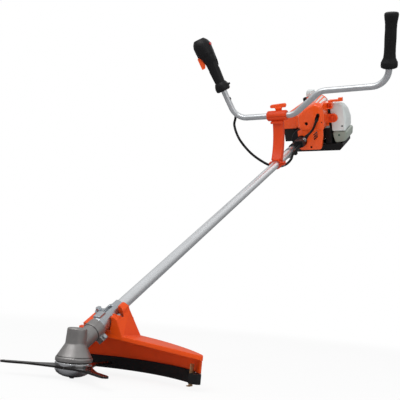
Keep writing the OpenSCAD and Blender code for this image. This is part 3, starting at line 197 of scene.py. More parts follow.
def placed(tree, vector, matrix, scale=(1, 1, 1)):
    """The point as it stands in another frame: first brought to it, then stretched."""
    moved = add_node(tree, "ShaderNodeMapping", vector_type="TEXTURE")
    moved.inputs["Location"].default_value = matrix.to_translation()
    moved.inputs["Rotation"].default_value = matrix.to_euler()
    tree.links.new(vector, moved.inputs["Vector"])
    stretched = add_node(tree, "ShaderNodeVectorMath", operation="MULTIPLY")
    tree.links.new(moved.outputs[0], stretched.inputs[0])
    stretched.inputs[1].default_value = scale
    return stretched.outputs[0]


def new_group(name, inputs, outputs):
    tree = bpy.data.node_groups.new(name, "ShaderNodeTree")
    for label, kind, value in inputs:
        socket = tree.interface.new_socket(label, in_out="INPUT", socket_type=kind)
        socket.default_value = value
    for label, kind in outputs:
        tree.interface.new_socket(label, in_out="OUTPUT", socket_type=kind)
    return tree, add_node(tree, "NodeGroupInput").outputs, add_node(tree, "NodeGroupOutput").inputs


FLOAT, COLOUR, VECTOR = "NodeSocketFloat", "NodeSocketColor", "NodeSocketVector"

# %% [markdown]
# No moulded or cast surface is one flat colour. Under a lens it has a fine grain that scatters the
# light, and broad cloudy changes of tone from the mould, handling and dust. This group makes both
# from one point in space, so it needs no unwrapping, and every material sets its own size and depth.

# %% Group: surface grain
grain_group, given, out = new_group("surface_grain", [
    ("Color", COLOUR, (0.5, 0.5, 0.5, 1)), ("Vector", VECTOR, (0, 0, 0)), ("Grain Scale", FLOAT, 900.0),
    ("Tone Scale", FLOAT, 14.0), ("Tone", FLOAT, 0.1)],
    [("Color", COLOUR), ("Height", FLOAT), ("Cloud", FLOAT)])
fine = noise(grain_group, given["Vector"], given["Grain Scale"], 3.0, 0.6)
cloud = noise(grain_group, given["Vector"], given["Tone Scale"], 4.0, 0.55)
DEEPER_TONE = (0.62, 0.60, 0.60, 1)
deeper = colour_mix(grain_group, 1.0, given["Color"], DEEPER_TONE, "MULTIPLY")
amount = sum_node(grain_group, "MULTIPLY", soft_step(grain_group, cloud, 0.40, 0.72),
                  given["Tone"], clamp=True)
toned = colour_mix(grain_group, amount, given["Color"], deeper)
speck = sum_node(grain_group, "MULTIPLY", soft_step(grain_group, fine, 0.55, 0.75),
                 given["Tone"], clamp=True)
feed(grain_group, colour_mix(grain_group, speck, toned, deeper), out["Color"])
feed(grain_group, fine, out["Height"])
feed(grain_group, cloud, out["Cloud"])
print("group", grain_group.name, "with", len(grain_group.nodes), "nodes")

# %% [markdown]
# Real edges are never sharp: a mould or a file leaves a small radius, which catches a line of light.
# The Bevel node bends the shading normal near an edge, as a round edge would. Where that bent normal
# departs from the flat one, the surface is an edge, so the same sum finds the places that rub bare
# in use. Broken up with noise, it gives wear that starts at corners.

# %% Group: worn edges
edge_group, given, out = new_group("worn_edge", [
    ("Radius", FLOAT, 0.0008), ("Vector", VECTOR, (0, 0, 0)), ("Wear", FLOAT, 0.4)],
    [("Normal", VECTOR), ("Wear", FLOAT)])
bevel_node = add_node(edge_group, "ShaderNodeBevel", samples=4)
feed(edge_group, given["Radius"], bevel_node.inputs["Radius"])
flat_normal = add_node(edge_group, "ShaderNodeNewGeometry")
agreement = add_node(edge_group, "ShaderNodeVectorMath", operation="DOT_PRODUCT")
edge_group.links.new(bevel_node.outputs[0], agreement.inputs[0])
edge_group.links.new(flat_normal.outputs["Normal"], agreement.inputs[1])
edge = soft_step(edge_group, agreement.outputs["Value"], 0.995, 0.80)
patchy = soft_step(edge_group, noise(edge_group, given["Vector"], 160.0, 4.0, 0.65), 0.42, 0.66)
worn = sum_node(edge_group, "MULTIPLY", sum_node(edge_group, "MULTIPLY", edge, patchy),
                given["Wear"], clamp=True)
feed(edge_group, bevel_node.outputs[0], out["Normal"])
feed(edge_group, worn, out["Wear"])
print("group", edge_group.name, "with", len(edge_group.nodes), "nodes")

# %% [markdown]
# Drawn tube, turned discs and ground steel all carry fine parallel lines from the tool that made
# them. The group takes a point that has already been stretched along those lines, so noise turns
# into streaks. It gives a height for the bump and a second, broader streak for the shine.

# %% Group: tool lines
lines_group, given, out = new_group("tool_lines", [
    ("Vector", VECTOR, (0, 0, 0)), ("Scale", FLOAT, 1.0)], [("Height", FLOAT), ("Streak", FLOAT)])
feed(lines_group, noise(lines_group, given["Vector"], given["Scale"], 3.0, 0.7), out["Height"])
broad = sum_node(lines_group, "MULTIPLY", given["Scale"], 0.22)
feed(lines_group, noise(lines_group, given["Vector"], broad, 2.0, 0.5), out["Streak"])

# %% [markdown]
# A tool that lives in a shed gathers fine dust, most on faces that look up. The group compares the
# surface's direction with straight up and breaks the result with noise. It is used thinly, to take
# the computer-clean look off the black parts.

# %% Group: settled dust
dust_group, given, out = new_group("settled_dust", [
    ("Vector", VECTOR, (0, 0, 0)), ("Amount", FLOAT, 0.2)], [("Mask", FLOAT)])
facing = add_node(dust_group, "ShaderNodeSeparateXYZ")
dust_group.links.new(add_node(dust_group, "ShaderNodeNewGeometry").outputs["Normal"], facing.inputs[0])
lying = soft_step(dust_group, facing.outputs["Z"], -0.2, 1.0)
spread = soft_step(dust_group, noise(dust_group, given["Vector"], 55.0, 5.0, 0.7), 0.38, 0.72)
feed(dust_group, sum_node(dust_group, "MULTIPLY", sum_node(dust_group, "MULTIPLY", lying, spread),
                          given["Amount"], clamp=True), out["Mask"])

# %% [markdown]
# Every finish below is the same stack in a different mix: a base colour, grain, edge wear and dust,
# then one Principled shader that stays in the material. The function builds the stack and returns
# the material, so that rings can still be worked in afterwards. The grain is given as its scale, the
# scale and strength of its tone, and its depth in metres; the edge as its radius and its wear.

# %% A finish
DUST_COLOUR = (0.42, 0.39, 0.34, 1)


def finish(name, colour, rough, metallic=0.0, coat=0.0, grain=(900, 14, 0.12, 0.00002),
           edge=(0.0008, 0.25), bare=(0.75, 0.75, 0.75), dust=0.0, rough_spread=0.12, lines=None,
           pattern=None, shine_level=0.4):
    grain_scale, tone_scale, tone, grain_depth = grain
    material = bpy.data.materials.new(name)
    material.use_nodes = True
    tree = material.node_tree
    shader = tree.nodes["Principled BSDF"]
    point = add_node(tree, "ShaderNodeTexCoord").outputs["Object"]
    base = (*colour, 1)
    if pattern:
        base = pattern(tree, point, base)
    grained = add_node(tree, "ShaderNodeGroup", node_tree=grain_group)
    for label, value in (("Color", base), ("Vector", point), ("Grain Scale", grain_scale),
                         ("Tone Scale", tone_scale), ("Tone", tone)):
        feed(tree, value, grained.inputs[label])
    shown = grained.outputs["Color"]
    if edge:
        edge_radius, edge_wear = edge
        rounded = add_node(tree, "ShaderNodeGroup", node_tree=edge_group)
        for label, value in (("Radius", edge_radius), ("Vector", point), ("Wear", edge_wear)):
            feed(tree, value, rounded.inputs[label])
        shown = colour_mix(tree, rounded.outputs["Wear"], shown, (*bare, 1))
    if dust:
        dusty = add_node(tree, "ShaderNodeGroup", node_tree=dust_group)
        feed(tree, point, dusty.inputs["Vector"])
        feed(tree, dust, dusty.inputs["Amount"])
        shown = colour_mix(tree, dusty.outputs["Mask"], shown, DUST_COLOUR)
    feed(tree, shown, shader.inputs["Base Color"])
    height = sum_node(tree, "MULTIPLY", grained.outputs["Height"], grain_depth * MM_PER_M)
    shine = soft_step(tree, grained.outputs["Cloud"], 0.3, 0.7,
                      rough - rough_spread / 2, rough + rough_spread / 2)
    if lines:
        matrix, stretch, depth = lines
        drawn = add_node(tree, "ShaderNodeGroup", node_tree=lines_group)
        feed(tree, placed(tree, point, matrix, stretch), drawn.inputs["Vector"])
        scratches = sum_node(tree, "MULTIPLY", drawn.outputs["Height"], depth * MM_PER_M)
        height = sum_node(tree, "ADD", height, scratches)
        streaks = soft_step(tree, drawn.outputs["Streak"], 0.3, 0.7, -0.03, 0.04)
        shine = sum_node(tree, "ADD", shine, streaks)
    feed(tree, shine, shader.inputs["Roughness"])
    bump = add_node(tree, "ShaderNodeBump")
    bump.inputs["Distance"].default_value = 1 / MM_PER_M
    feed(tree, height, bump.inputs["Height"])
    if edge:
        feed(tree, rounded.outputs["Normal"], bump.inputs["Normal"])
    feed(tree, bump.outputs["Normal"], shader.inputs["Normal"])
    shader.inputs["Metallic"].default_value = metallic
    shader.inputs["Specular IOR Level"].default_value = shine_level
    shader.inputs["Coat Weight"].default_value = coat
    shader.inputs["Coat Roughness"].default_value = 0.08
    return material


FINISH = {}

# %% [markdown]
# The covers over the engine are glossy orange plastic, and three pale stripes run slanting over the
# shoulder of the shroud. They are paint, not shape, so they are bands in the material: the point is
# brought into the engine's own frame, and a band is where a slanted sum of its coordinates lies
# between two numbers. Each has its own width, start and end, and nothing is written in them.

# %% Finish: glossy orange with pale stripes
STRIPE_WHITE = (0.76, 0.74, 0.72, 1)
STRIPES = [(0.0525, 0.0016, 0.062, 0.104), (0.0675, 0.0036, 0.046, 0.108),
           (0.0795, 0.0036, 0.052, 0.106)]
STRIPE_SLANT = 0.14
SIDE_BLUR, END_BLUR = 0.0003, 0.0006
STRIPES_FADE_IN = (0.110, 0.111)


def shoulder_stripes(tree, point, base):
    local = add_node(tree, "ShaderNodeSeparateXYZ")
    tree.links.new(placed(tree, point, ENGINE_FRAME), local.inputs[0])
    x, y, z = local.outputs
    across = sum_node(tree, "SUBTRACT", x, sum_node(tree, "MULTIPLY", y, STRIPE_SLANT))
    shown = None
    for middle, half, start, end in STRIPES:
        off = sum_node(tree, "ABSOLUTE", sum_node(tree, "SUBTRACT", across, middle))
        band = soft_step(tree, off, half + SIDE_BLUR, half - SIDE_BLUR)
        band = sum_node(tree, "MULTIPLY", band, soft_step(tree, y, start, start + END_BLUR))
        band = sum_node(tree, "MULTIPLY", band, soft_step(tree, y, end + END_BLUR, end), clamp=True)
        shown = band if shown is None else sum_node(tree, "MAXIMUM", shown, band)
    high = soft_step(tree, z, *STRIPES_FADE_IN)
    return colour_mix(tree, sum_node(tree, "MULTIPLY", shown, high, clamp=True), base, STRIPE_WHITE)


ORANGE = (0.95, 0.100, 0.010)
FINISH["orange_plastic"] = finish("orange_plastic", ORANGE, 0.32, coat=0.15,
                                  grain=(1400, 11, 0.08, 0.000006),
                                  edge=(0.0012, 0.12), bare=(0.93, 0.30, 0.14), rough_spread=0.08,
                                  shine_level=0.3)
FINISH["striped_orange"] = finish("striped_orange", ORANGE, 0.27, coat=0.8,
                                  grain=(1400, 11, 0.06, 0.000003),
                                  edge=(0.0018, 0.10), bare=(0.93, 0.30, 0.14), rough_spread=0.08,
                                  pattern=shoulder_stripes, shine_level=0.3)
print("stripes on", FINISH["striped_orange"].name)

# %% [markdown]
# The column is cast metal under a satin paint that is a shade deeper than the shroud, and the guard
# is moulded in a tougher, flatter plastic. The guard works among stones and wet grass, so it gets
# the most scuffing, a coarser grain and a little dried dust.

# %% Finish: column paint and guard plastic
FINISH["column_orange"] = finish("column_orange", (0.70, 0.054, 0.007), 0.40, coat=0.05,
                                 grain=(700, 18, 0.12, 0.00003),
                                 edge=(0.0012, 0.20), bare=(0.55, 0.36, 0.30), shine_level=0.25)
FINISH["guard_orange"] = finish("guard_orange", (0.84, 0.080, 0.004), 0.42, coat=0.05,
                                grain=(850, 9, 0.14, 0.00003),
                                edge=(0.0015, 0.30), bare=(0.86, 0.32, 0.17), dust=0.02,
                                rough_spread=0.16, shine_level=0.25)

# %% [markdown]
# Black shows up most of what is wrong with a plain material. The plastics have a fine spark-eroded
# grain and a soft sheen; the rubbers are flatter, greyer and have a coarser bump; the muffler's
# shell is painted steel gone dull with heat.

# %% Finish: blacks
FINISH["black_plastic"] = finish("black_plastic", (0.009, 0.009, 0.010), 0.44,
                                 grain=(1100, 16, 0.30, 0.00003),
                                 edge=(0.0010, 0.22), bare=(0.05, 0.05, 0.05), dust=0.01,
                                 shine_level=0.25)
FINISH["black_rubber"] = finish("black_rubber", (0.009, 0.009, 0.0095), 0.58,
                                grain=(520, 22, 0.35, 0.00005),
                                edge=(0.0012, 0.18), bare=(0.045, 0.044, 0.043), dust=0.01,
                                shine_level=0.2)
FINISH["black_steel"] = finish("black_steel", (0.020, 0.019, 0.018), 0.66, metallic=0.3,
                               grain=(420, 12, 0.5, 0.00007),
                               edge=(0.0010, 0.4), bare=(0.10, 0.07, 0.05), dust=0.02)

# %% [markdown]
# The tubes are drawn aluminium with a satin anodised skin. Drawing leaves faint lines along the
# tube, so the noise is squeezed across it and stretched along it. The handlebar bends, and lines in
# one fixed direction would run across its bends, so it has only a fine even grain.

# %% Finish: tubes
FINISH["tube_alloy"] = finish("tube_alloy", (0.80, 0.82, 0.84), 0.30, metallic=0.92,
                              grain=(500, 8, 0.03, 0.0000008),
                              edge=None, lines=(TILT, (260, 3, 260), 0.0000006))
FINISH["bent_tube"] = finish("bent_tube", (0.66, 0.68, 0.70), 0.36, metallic=0.75,
                             grain=(500, 10, 0.03, 0.0000008),
                             edge=None)

# %% [markdown]
# The gear head is a sand-textured casting with a satin lacquer. Its grain is coarse and its edges
# are bright where tools have touched them. Two dark lines mark where its parts meet. The engine's
# own castings share the grain, since they come from the same kind of foundry.

# %% Finish: cast alloy
SHAFT_FRAME = Matrix.Translation(BLADE_AT + Vector((0, 0, 0.038))) @ TILT
CAP_SEAM, NECK_SEAM = (0.0188, 0.0009), (0.0545, 0.0008)
SEAM_DARK = (0.035, 0.034, 0.033, 1)


def casting_seams(tree, point, base):
    upright = add_node(tree, "ShaderNodeSeparateXYZ")
    tree.links.new(placed(tree, point, Matrix.Translation(BLADE_AT)), upright.inputs[0])
    tilted = add_node(tree, "ShaderNodeSeparateXYZ")
    tree.links.new(placed(tree, point, SHAFT_FRAME), tilted.inputs[0])
    shown = None
    for along, (at, half) in ((upright.outputs["Z"], CAP_SEAM), (tilted.outputs["Y"], NECK_SEAM)):
        off = sum_node(tree, "ABSOLUTE", sum_node(tree, "SUBTRACT", along, at))
        line = soft_step(tree, off, half + 0.0004, half, 0.0, 0.8)
        shown = line if shown is None else sum_node(tree, "MAXIMUM", shown, line)
    return colour_mix(tree, shown, base, SEAM_DARK)


FINISH["cast_alloy"] = finish("cast_alloy", (0.27, 0.262, 0.255), 0.42, metallic=0.6,
                              grain=(700, 26, 0.30, 0.00006),
                              edge=(0.0014, 0.35), bare=(0.50, 0.50, 0.50), rough_spread=0.14)
FINISH["head_alloy"] = finish("head_alloy", (0.29, 0.28, 0.275), 0.38, metallic=0.65,
                              grain=(700, 26, 0.35, 0.00008),
                              edge=(0.0014, 0.35), bare=(0.55, 0.55, 0.55), rough_spread=0.14,
                              pattern=casting_seams)

# %% [markdown]
# Fasteners and brackets are zinc plated: pale, slightly bluish and a little cloudy. Gears, shafts
# and bearings are turned or ground steel, darker and shinier. Both are metals, so their colour is
# the colour of their reflections.

# %% Finish: steels
FINISH["clear_steel"] = finish("clear_steel", (0.50, 0.53, 0.56), 0.30, metallic=0.95,
                               grain=(900, 60, 0.15, 0.00001),
                               edge=(0.0005, 0.4), bare=(0.7, 0.7, 0.7))
FINISH["steel"] = finish("steel", (0.40, 0.41, 0.43), 0.26, metallic=1.0,
                         grain=(1400, 70, 0.25, 0.000008),
                         edge=(0.0004, 0.4), bare=(0.75, 0.75, 0.76))
FINISH["tan_steel"] = finish("tan_steel", (0.47, 0.27, 0.13), 0.36, metallic=0.55,
                             grain=(900, 60, 0.35, 0.00002),
                             edge=(0.0005, 0.5), bare=(0.72, 0.60, 0.48))

# %% [markdown]
# The thrust collar and the dish that rides on the ground are polished by turning, so they carry fine
# rings about the blade's axis. Rings come from noise on a point whose distance from that axis has
# been worked out first. The blade is blackened spring steel with wider rings from surface grinding,
# dark enough that its colour is mostly what it mirrors.

# %% Finish: turned chrome and the ground blade
def from_axis(tree, point, centre):
    moved = add_node(tree, "ShaderNodeVectorMath", operation="SUBTRACT")
    tree.links.new(point, moved.inputs[0])
    moved.inputs[1].default_value = centre
    flat = add_node(tree, "ShaderNodeVectorMath", operation="MULTIPLY")
    tree.links.new(moved.outputs[0], flat.inputs[0])
    flat.inputs[1].default_value = (1, 1, 0)
    distance = add_node(tree, "ShaderNodeVectorMath", operation="LENGTH")
    tree.links.new(flat.outputs[0], distance.inputs[0])
    return distance.outputs["Value"]


def add_rings(material, spacing, depth):
    tree = material.node_tree
    point = add_node(tree, "ShaderNodeTexCoord").outputs["Object"]
    distance = from_axis(tree, point, BLADE_AT)
    ring = add_node(tree, "ShaderNodeCombineXYZ")
    feed(tree, sum_node(tree, "DIVIDE", distance, spacing), ring.inputs[0])
    rings = noise(tree, ring.outputs[0], 1.0, 3.0, 0.7)
    bump = next(node for node in tree.nodes if node.bl_idname == "ShaderNodeBump")
    before = bump.inputs["Height"].links[0].from_socket
    ridges = sum_node(tree, "MULTIPLY", rings, depth * MM_PER_M)
    feed(tree, sum_node(tree, "ADD", before, ridges), bump.inputs["Height"])
    return material


FINISH["chrome"] = add_rings(finish("chrome", (0.80, 0.81, 0.82), 0.12, metallic=1.0,
                                    grain=(900, 30, 0.10, 0.000006),
                                    edge=(0.0008, 0.3), rough_spread=0.06), 0.00022, 0.000012)
FINISH["blade_steel"] = add_rings(finish("blade_steel", (0.050, 0.046, 0.045), 0.25, metallic=0.9,
                                         grain=(1000, 34, 0.30, 0.00001), edge=(0.0004, 0.5),
                                         bare=(0.45, 0.44, 0.43)), 0.0003, 0.000006)

# %% [markdown]
# The filter's cover is pale smooth plastic, a grey that is nearly white. The lower cover beside it is
# greener and a little see-through in the real thing, so it is given a milky depth by a broad, soft
# change of tone rather than by costly light scattering. A small dark green dot marks its sight plug.

# %% Finish: pale covers
SIGHT_DOT = ENGINE_FRAME @ Vector((0.131, 0.114, -0.005))
SIGHT_DOT_RIM = (0.0048, 0.0040)
SIGHT_DOT_GREEN = (0.03, 0.09, 0.06, 1)


def sight_dot(tree, point, base):
    away = add_node(tree, "ShaderNodeVectorMath", operation="DISTANCE")
    tree.links.new(point, away.inputs[0])
    away.inputs[1].default_value = SIGHT_DOT
    inside = soft_step(tree, away.outputs["Value"], *SIGHT_DOT_RIM)
    return colour_mix(tree, inside, base, SIGHT_DOT_GREEN)


FINISH["white_plastic"] = finish("white_plastic", (0.70, 0.75, 0.74), 0.36, coat=0.15,
                                 grain=(1200, 8, 0.05, 0.00001),
                                 edge=(0.0020, 0.15), bare=(0.78, 0.78, 0.76), dust=0.01)
FINISH["grey_plastic"] = finish("grey_plastic", (0.30, 0.345, 0.295), 0.34, coat=0.2,
                                grain=(1200, 6, 0.22, 0.00001),
                                edge=(0.0020, 0.20), bare=(0.52, 0.56, 0.52), dust=0.01,
                                pattern=sight_dot)
FINISH["pale_plastic"] = finish("pale_plastic", (0.66, 0.71, 0.71), 0.36,
                                grain=(1200, 9, 0.04, 0.000006),
                                edge=(0.0020, 0.2))
FINISH["red_plastic"] = finish("red_plastic", (0.60, 0.020, 0.022), 0.26, coat=0.5,
                               grain=(1500, 40, 0.1, 0.000008),
                               edge=(0.0008, 0.1), bare=(0.8, 0.3, 0.3))

# %% [markdown]
# The air filter is a sleeve of pleated felt. Its CAD solid has the pleats, so the finish adds only
# the loose fibres: long noise in two directions, a matt surface, and some dust caught in the folds.

# %% Finish: felt
FINISH["filter_felt"] = finish("filter_felt", (0.60, 0.56, 0.46), 0.9, grain=(1800, 40, 0.4, 0.00015),
                               edge=(0.0006, 0.1), dust=0.3, lines=(TILT, (260, 1500, 260), 0.00010))
print("finishes:", sorted(FINISH))

# %% [markdown]
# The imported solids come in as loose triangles, each in its right place. Every node first gets the
# finish that its material slot names, so nothing is left plain, not even the bearings that only a
# lifted cover would show.

# %% Dress every node
SPECIAL = {"engine_shroud": "striped_orange", "handlebar": "bent_tube", "filter_knob": "column_orange",
           "gear_head": "head_alloy"}
slot_of = {part["node"]: part["material_slot"] for part in frame["record"]["subparts"]}


def finish_for(node):
    return FINISH[SPECIAL.get(node, slot_of[node])]


for node, piece in frame["nodes"].items():
    if not piece.material_slots:
        piece.data.materials.append(None)
    for place in piece.material_slots:
        place.material = finish_for(node)
print("dressed", len(frame["nodes"]), "nodes")

# %% [markdown]
# Turned and drawn parts have true curves, but their triangles are shaded flat. A merged copy welds
# the triangles into one skin, lets each curve shade smoothly, and keeps as sharp every edge that
# turns by more than a set angle. The copy stands for its node from then on, and rides on the same
# body.

# %% Smooth copies of turned and machined parts
WELD_WITHIN = 0.000003
SHARP_ABOVE_DEGREES = 32


def merged_mesh(node):
    mesh = frame["nodes"][node].data.copy()
    skin = bmesh.new()
    skin.from_mesh(mesh)
    bmesh.ops.remove_doubles(skin, verts=skin.verts, dist=WELD_WITHIN)
    skin.to_mesh(mesh)
    skin.free()
    if mesh.has_custom_normals:
        mesh.attributes.remove(mesh.attributes["custom_normal"])
    return mesh


def shade_by_angle(mesh, degrees):
    skin = bmesh.new()
    skin.from_mesh(mesh)
    for face in skin.faces:
        face.smooth = True
    for edge_line in skin.edges:
        inner = len(edge_line.link_faces) == 2
        edge_line.smooth = inner and edge_line.calc_face_angle(0) < math.radians(degrees)
    skin.to_mesh(mesh)
    skin.free()


def stand_in(name, mesh, *nodes):
    piece = linked(name, mesh)
    mesh.materials.clear()
    mesh.materials.append(finish_for(nodes[0]))
    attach(piece, frame["nodes"][nodes[0]]["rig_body"])
    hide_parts(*nodes)
    return piece


TURNED = ["thrust_plate", "blade", "rider_plate", "blade_nut", "shaft_tube", "handlebar", "plain_grip",
          "clutch_housing", "cable_adjuster", "cable_boot", "bar_cable", "filter_knob", "fuel_cap",
          "clamp_screws", "guard_bolts", "control_fasteners", "control_shell_front",
          "control_shell_rear", "harness_eye", "stop_button", "drive_shaft", "starter_housing",
          "starter_grip", "spark_plug", "engine_cylinder", "flywheel", "choke_lever"]
for node in TURNED:
    mesh = merged_mesh(node)
    shade_by_angle(mesh, SHARP_ABOVE_DEGREES)
    stand_in(node + "_skin", mesh, node)
print("smooth copies:", len(TURNED))

# %% [markdown]
# Castings and mouldings have no sharp edge anywhere. Their solids do, so each is rebuilt as a fine
# grid of cells, which forgets how its faces were cut, and the grid is then relaxed until every edge
# has the radius of a mould. The work is done in the tube's tilted frame, because flat faces that lie
# square to the grid stay perfectly flat. The trigger is first planed flat where the finger lies.
# Thinning the mesh afterwards costs nothing that shows. The grid follows only the outside of a
# piece, so the hollows closed off inside the muffler and the filter base are filled.

# %% Moulded copies
def finished_mesh(carrier):
    """The mesh that an object shows, smooth all over; the object itself is then thrown away."""
    seen = carrier.evaluated_get(bpy.context.evaluated_depsgraph_get())
    mesh = bpy.data.meshes.new_from_object(seen)
    bpy.data.objects.remove(carrier)
    for face in mesh.polygons:
        face.use_smooth = True
    return mesh


def with_modifiers(mesh, *modifiers):
    carrier = linked("carrier", mesh)
    for kind, settings in modifiers:
        modifier = carrier.modifiers.new(kind, kind)
        for name, value in settings.items():
            setattr(modifier, name, value)
    return finished_mesh(carrier)


def planed(mesh, flats):
    """Cuts a mesh off flat beyond each point, looking along each direction, and closes the cut."""
    skin = bmesh.new()
    skin.from_mesh(mesh)
    for place, direction in flats:
        whole = skin.verts[:] + skin.edges[:] + skin.faces[:]
        bmesh.ops.bisect_plane(skin, geom=whole, plane_co=place, plane_no=direction, clear_outer=True)
        bmesh.ops.holes_fill(skin, edges=[line for line in skin.edges if line.is_boundary])
    skin.to_mesh(mesh)
    skin.free()


def moulded(node, cell, relax=6, keep=1.0, square_to=ENGINE_FRAME, flats=()):
    mesh = merged_mesh(node)
    planed(mesh, flats)
    mesh.transform(square_to.inverted())
    steps = [("REMESH", dict(mode="VOXEL", voxel_size=cell / MM_PER_M)),
             ("SMOOTH", dict(factor=0.5, iterations=relax))]
    if keep < 1:
        steps.append(("DECIMATE", dict(ratio=keep)))
    mesh = with_modifiers(mesh, *steps)
    mesh.transform(square_to)
    piece = stand_in(node + "_skin", mesh, node)
    print(f"{node}: {len(mesh.polygons)} faces, {[round(x * MM_PER_M) for x in piece.dimensions]} mm")


HEAD_FRAME = Matrix.Translation(BLADE_AT)
GRIP_FRAME = Matrix(((-0.828184, 0.478152, -0.292372, -0.1320),
                     (-0.289848, -0.811898, -0.506764, -0.1480),
                     (-0.479687, -0.334951, 0.810992, 0.0997),
                     (0, 0, 0, 1)))
FINGER_FACE = (GRIP_FRAME @ Vector((0.0415, 0, 0.240)), GRIP_FRAME.col[0].to_3d())
TRIGGER_END = (GRIP_FRAME @ Vector((0.030, 0, 0.2185)), -GRIP_FRAME.col[2].to_3d())
MOULDED = {"gear_head": dict(cell=0.9, relax=6, keep=0.6),
           "guard_bracket": dict(cell=0.9, relax=5, keep=0.6),
           "guard": dict(cell=1.0, relax=5, keep=0.6, square_to=HEAD_FRAME),
           "handle_column": dict(cell=1.1, relax=8, keep=0.6), "foot_cap": dict(cell=0.9, relax=6),
           "clamp_cap": dict(cell=0.9, relax=8), "wing_knob": dict(cell=0.7, relax=8),
           "throttle_trigger": dict(cell=0.6, relax=5, flats=(FINGER_FACE, TRIGGER_END)),
           "lockout_lever": dict(cell=0.7, relax=8),
           "cable_holder": dict(cell=0.7, relax=6), "engine_shroud": dict(cell=1.3, relax=14, keep=0.5),
           "winter_shutter": dict(cell=0.8, relax=8), "filter_base": dict(cell=1.2, relax=6, keep=0.6),
           "filter_cover": dict(cell=1.1, relax=5, keep=0.6),
           "fuel_tank": dict(cell=1.0, relax=5, keep=0.6),
           "base_tray": dict(cell=1.2, relax=8, keep=0.5), "muffler": dict(cell=1.0, relax=6, keep=0.6),
           "crankcase": dict(cell=1.4, relax=5, keep=0.5), "carburettor": dict(cell=0.9, relax=5)}
for node, settings in MOULDED.items():
    moulded(node, **settings)

# %% [markdown]
# The throttle cable leaves the control grip, droops forward, passes under the drive tube and runs
# up through its holder into the shroud. One smooth curve through the route's points gives it its
# line; a round bevel gives it its thickness.

# %% Throttle cable
CABLE_D = 0.0094
CABLE_STEPS = 6
CABLE_ROUTE = [(-0.1389, -0.1472, 0.1269), (-0.1378, -0.1454, 0.1239), (-0.1420, -0.1365, 0.1034),
               (-0.1470, -0.1316, 0.0805), (-0.1360, -0.1271, 0.0468), (-0.1160, -0.1198, 0.0124),
               (-0.0820, -0.0990, -0.0265), (-0.0420, -0.0801, -0.0548), (-0.0060, -0.0723, -0.0711),
               (0.0220, -0.0663, -0.0732), (0.0460, -0.0543, -0.0622), (0.0580, -0.0381, -0.0391),
               (0.0560, -0.0196, -0.0158), (0.0600, -0.0013, 0.0039), (0.0640, 0.0171, 0.0236),
               (0.0680, 0.0354, 0.0433), (0.0720, 0.0538, 0.0631), (0.0760, 0.0721, 0.0828),
               (0.0870, 0.0812, 0.1003), (0.0960, 0.0799, 0.1136), (0.1040, 0.0740, 0.1288),
               (0.1090, 0.0734, 0.1449), (0.1120, 0.0832, 0.1593)]


def smooth_line(points, steps):
    points = [Vector(p) for p in points]
    line = []
    for i in range(len(points) - 1):
        a, b = points[max(i - 1, 0)], points[i]
        c, d = points[i + 1], points[min(i + 2, len(points) - 1)]
        for k in range(steps):
            t = k / steps
            line.append(0.5 * (2 * b + (c - a) * t + (2 * a - 5 * b + 4 * c - d) * t * t
                               + (3 * b - a - 3 * c + d) * t * t * t))
    return line + [points[-1]]


def round_cord(name, line, diameter):
    curve = bpy.data.curves.new(name, "CURVE")
    curve.dimensions = "3D"
    curve.bevel_depth = diameter / 2
    curve.bevel_resolution = 5
    curve.use_fill_caps = True
    spline = curve.splines.new("POLY")
    spline.points.add(len(line) - 1)
    for point, place in zip(spline.points, line):
        point.co = (*place, 1)
    return linked(name, finished_mesh(linked(name, curve)))


cable_line = smooth_line(CABLE_ROUTE, CABLE_STEPS)
cable = round_cord("throttle_cable_skin", cable_line, CABLE_D)
cable.data.materials.append(FINISH["black_rubber"])
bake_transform(cable)
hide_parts("throttle_cable")

# %% [markdown]
# Pulling the starter's grip draws a thin rope out of its guide. At rest the rope is hidden between
# the guide and the grip.

# %% Starter rope
ROPE_D = 0.0035
ROPE_STEPS = 24
ROPE_FROM, ROPE_TO = 0.034, 0.004
low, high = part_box("starter_grip")
grip_middle = (Vector(low) + Vector(high)) / 2
rope_low = grip_middle - ABOVE_TUBE * ROPE_FROM
rope_high = grip_middle - ABOVE_TUBE * ROPE_TO
rope_line = [rope_low.lerp(rope_high, i / ROPE_STEPS) for i in range(ROPE_STEPS + 1)]
rope = round_cord("starter_rope", rope_line, ROPE_D)
rope.data.materials.append(FINISH["black_rubber"])
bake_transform(rope)
print("rope at rest", round((rope_high - rope_low).length * MM_PER_M), "mm")

# %% [markdown]
# The studio is a pale floor just under the lowest point, with the same plain white seen behind it.
# The floor shows white to the camera but still receives a real shadow: its shader is mostly a plain
# white glow for the camera, all of it glow far from the object, so no horizon shows. Reflections see
# a dimmer room, darker low down than overhead, or every black part would be veiled in white and the
# round tubes would show no dark underside.

# %% Floor and backdrop
AMBIENT = (0.24, 0.66)
FLOOR_REACH = 14
FLOOR_BELOW = 0.001
PAPER_LIT = (0.82, 0.82, 0.82, 1)
PAPER_MIRRORED = (0.24, 0.24, 0.25, 1)
GLOW_FROM, GLOW_TO = 0.9, 2.2
GLOW_NEAR, GLOW_FAR = 0.88, 1.0


def seen_directly(tree):
    rays = add_node(tree, "ShaderNodeLightPath").outputs
    return sum_node(tree, "MAXIMUM", rays["Is Camera Ray"], rays["Is Transmission Ray"])


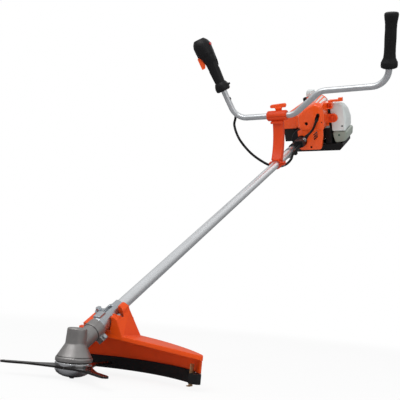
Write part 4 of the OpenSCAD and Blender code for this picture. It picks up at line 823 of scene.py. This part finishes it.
world = bpy.data.worlds.new("studio")
world.use_nodes = True
bpy.context.scene.world = world
tree = world.node_tree
glow = tree.nodes["Background"]
glow.inputs["Color"].default_value = (1, 1, 1, 1)
sky = add_node(tree, "ShaderNodeSeparateXYZ")
tree.links.new(add_node(tree, "ShaderNodeTexCoord").outputs["Generated"], sky.inputs[0])
room = soft_step(tree, sky.outputs["Z"], -0.1, 0.8, *AMBIENT)
feed(tree, sum_node(tree, "MAXIMUM", seen_directly(tree), room), glow.inputs["Strength"])

floor_skin = bmesh.new()
bmesh.ops.create_grid(floor_skin, x_segments=1, y_segments=1, size=FLOOR_REACH)
floor_mesh = bpy.data.meshes.new("floor")
floor_skin.to_mesh(floor_mesh)
floor_skin.free()
floor_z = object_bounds()[0][2] - FLOOR_BELOW
floor = linked("floor", floor_mesh)
floor.location = (0, 0, floor_z)
paper = bpy.data.materials.new("white_paper")
paper.use_nodes = True
tree = paper.node_tree
shader = tree.nodes["Principled BSDF"]
mirrored = add_node(tree, "ShaderNodeLightPath").outputs["Is Glossy Ray"]
feed(tree, colour_mix(tree, mirrored, PAPER_LIT, PAPER_MIRRORED), shader.inputs["Base Color"])
shader.inputs["Roughness"].default_value = 1.0
lit = add_node(tree, "ShaderNodeEmission")
both = add_node(tree, "ShaderNodeMixShader")
spot = add_node(tree, "ShaderNodeTexCoord").outputs["Object"]
away = add_node(tree, "ShaderNodeVectorMath", operation="LENGTH")
tree.links.new(spot, away.inputs[0])
bright = soft_step(tree, away.outputs["Value"], GLOW_FROM, GLOW_TO, GLOW_NEAR, GLOW_FAR)
feed(tree, sum_node(tree, "MULTIPLY", seen_directly(tree), bright), both.inputs[0])
tree.links.new(shader.outputs[0], both.inputs[1])
tree.links.new(lit.outputs[0], both.inputs[2])
tree.links.new(both.outputs[0], tree.nodes["Material Output"].inputs["Surface"])
floor_mesh.materials.append(paper)

# %% [markdown]
# Three broad lamps do most of what a product studio does. The key is high on the camera's left, the
# fill is low on its right, and one behind lifts the top edges off the background. Big lamps give
# long soft highlights on the shroud, and one small bright lamp gives glossy plastic its crisp
# sparks. Their levels are set so that a colour renders about as it is written.

# %% Lamps
LAMP_SHAPE = 0.7


def softbox(name, place, aim, width, power):
    data = bpy.data.lights.new(name, "AREA")
    data.shape = "RECTANGLE"
    data.size, data.size_y = width, width * LAMP_SHAPE
    data.energy = power
    lamp = linked(name, data)
    facing_aim = (Vector(aim) - Vector(place)).to_track_quat("-Z", "Y").to_matrix().to_4x4()
    lamp.matrix_world = Matrix.Translation(place) @ facing_aim


softbox("key", (-0.6, -2.6, 2.2), (0.05, -0.4, -0.1), 3.2, 43)
softbox("fill", (2.4, -1.4, 0.4), (0.05, -0.3, -0.1), 2.4, 12)
softbox("rim", (0.3, 1.9, 2.2), (0.05, -0.3, 0.0), 2.4, 9)
softbox("spark", (0.2, -1.9, 1.7), (0.1, 0.1, 0.1), 0.3, 7)
bpy.context.scene.view_settings.view_transform = "Standard"
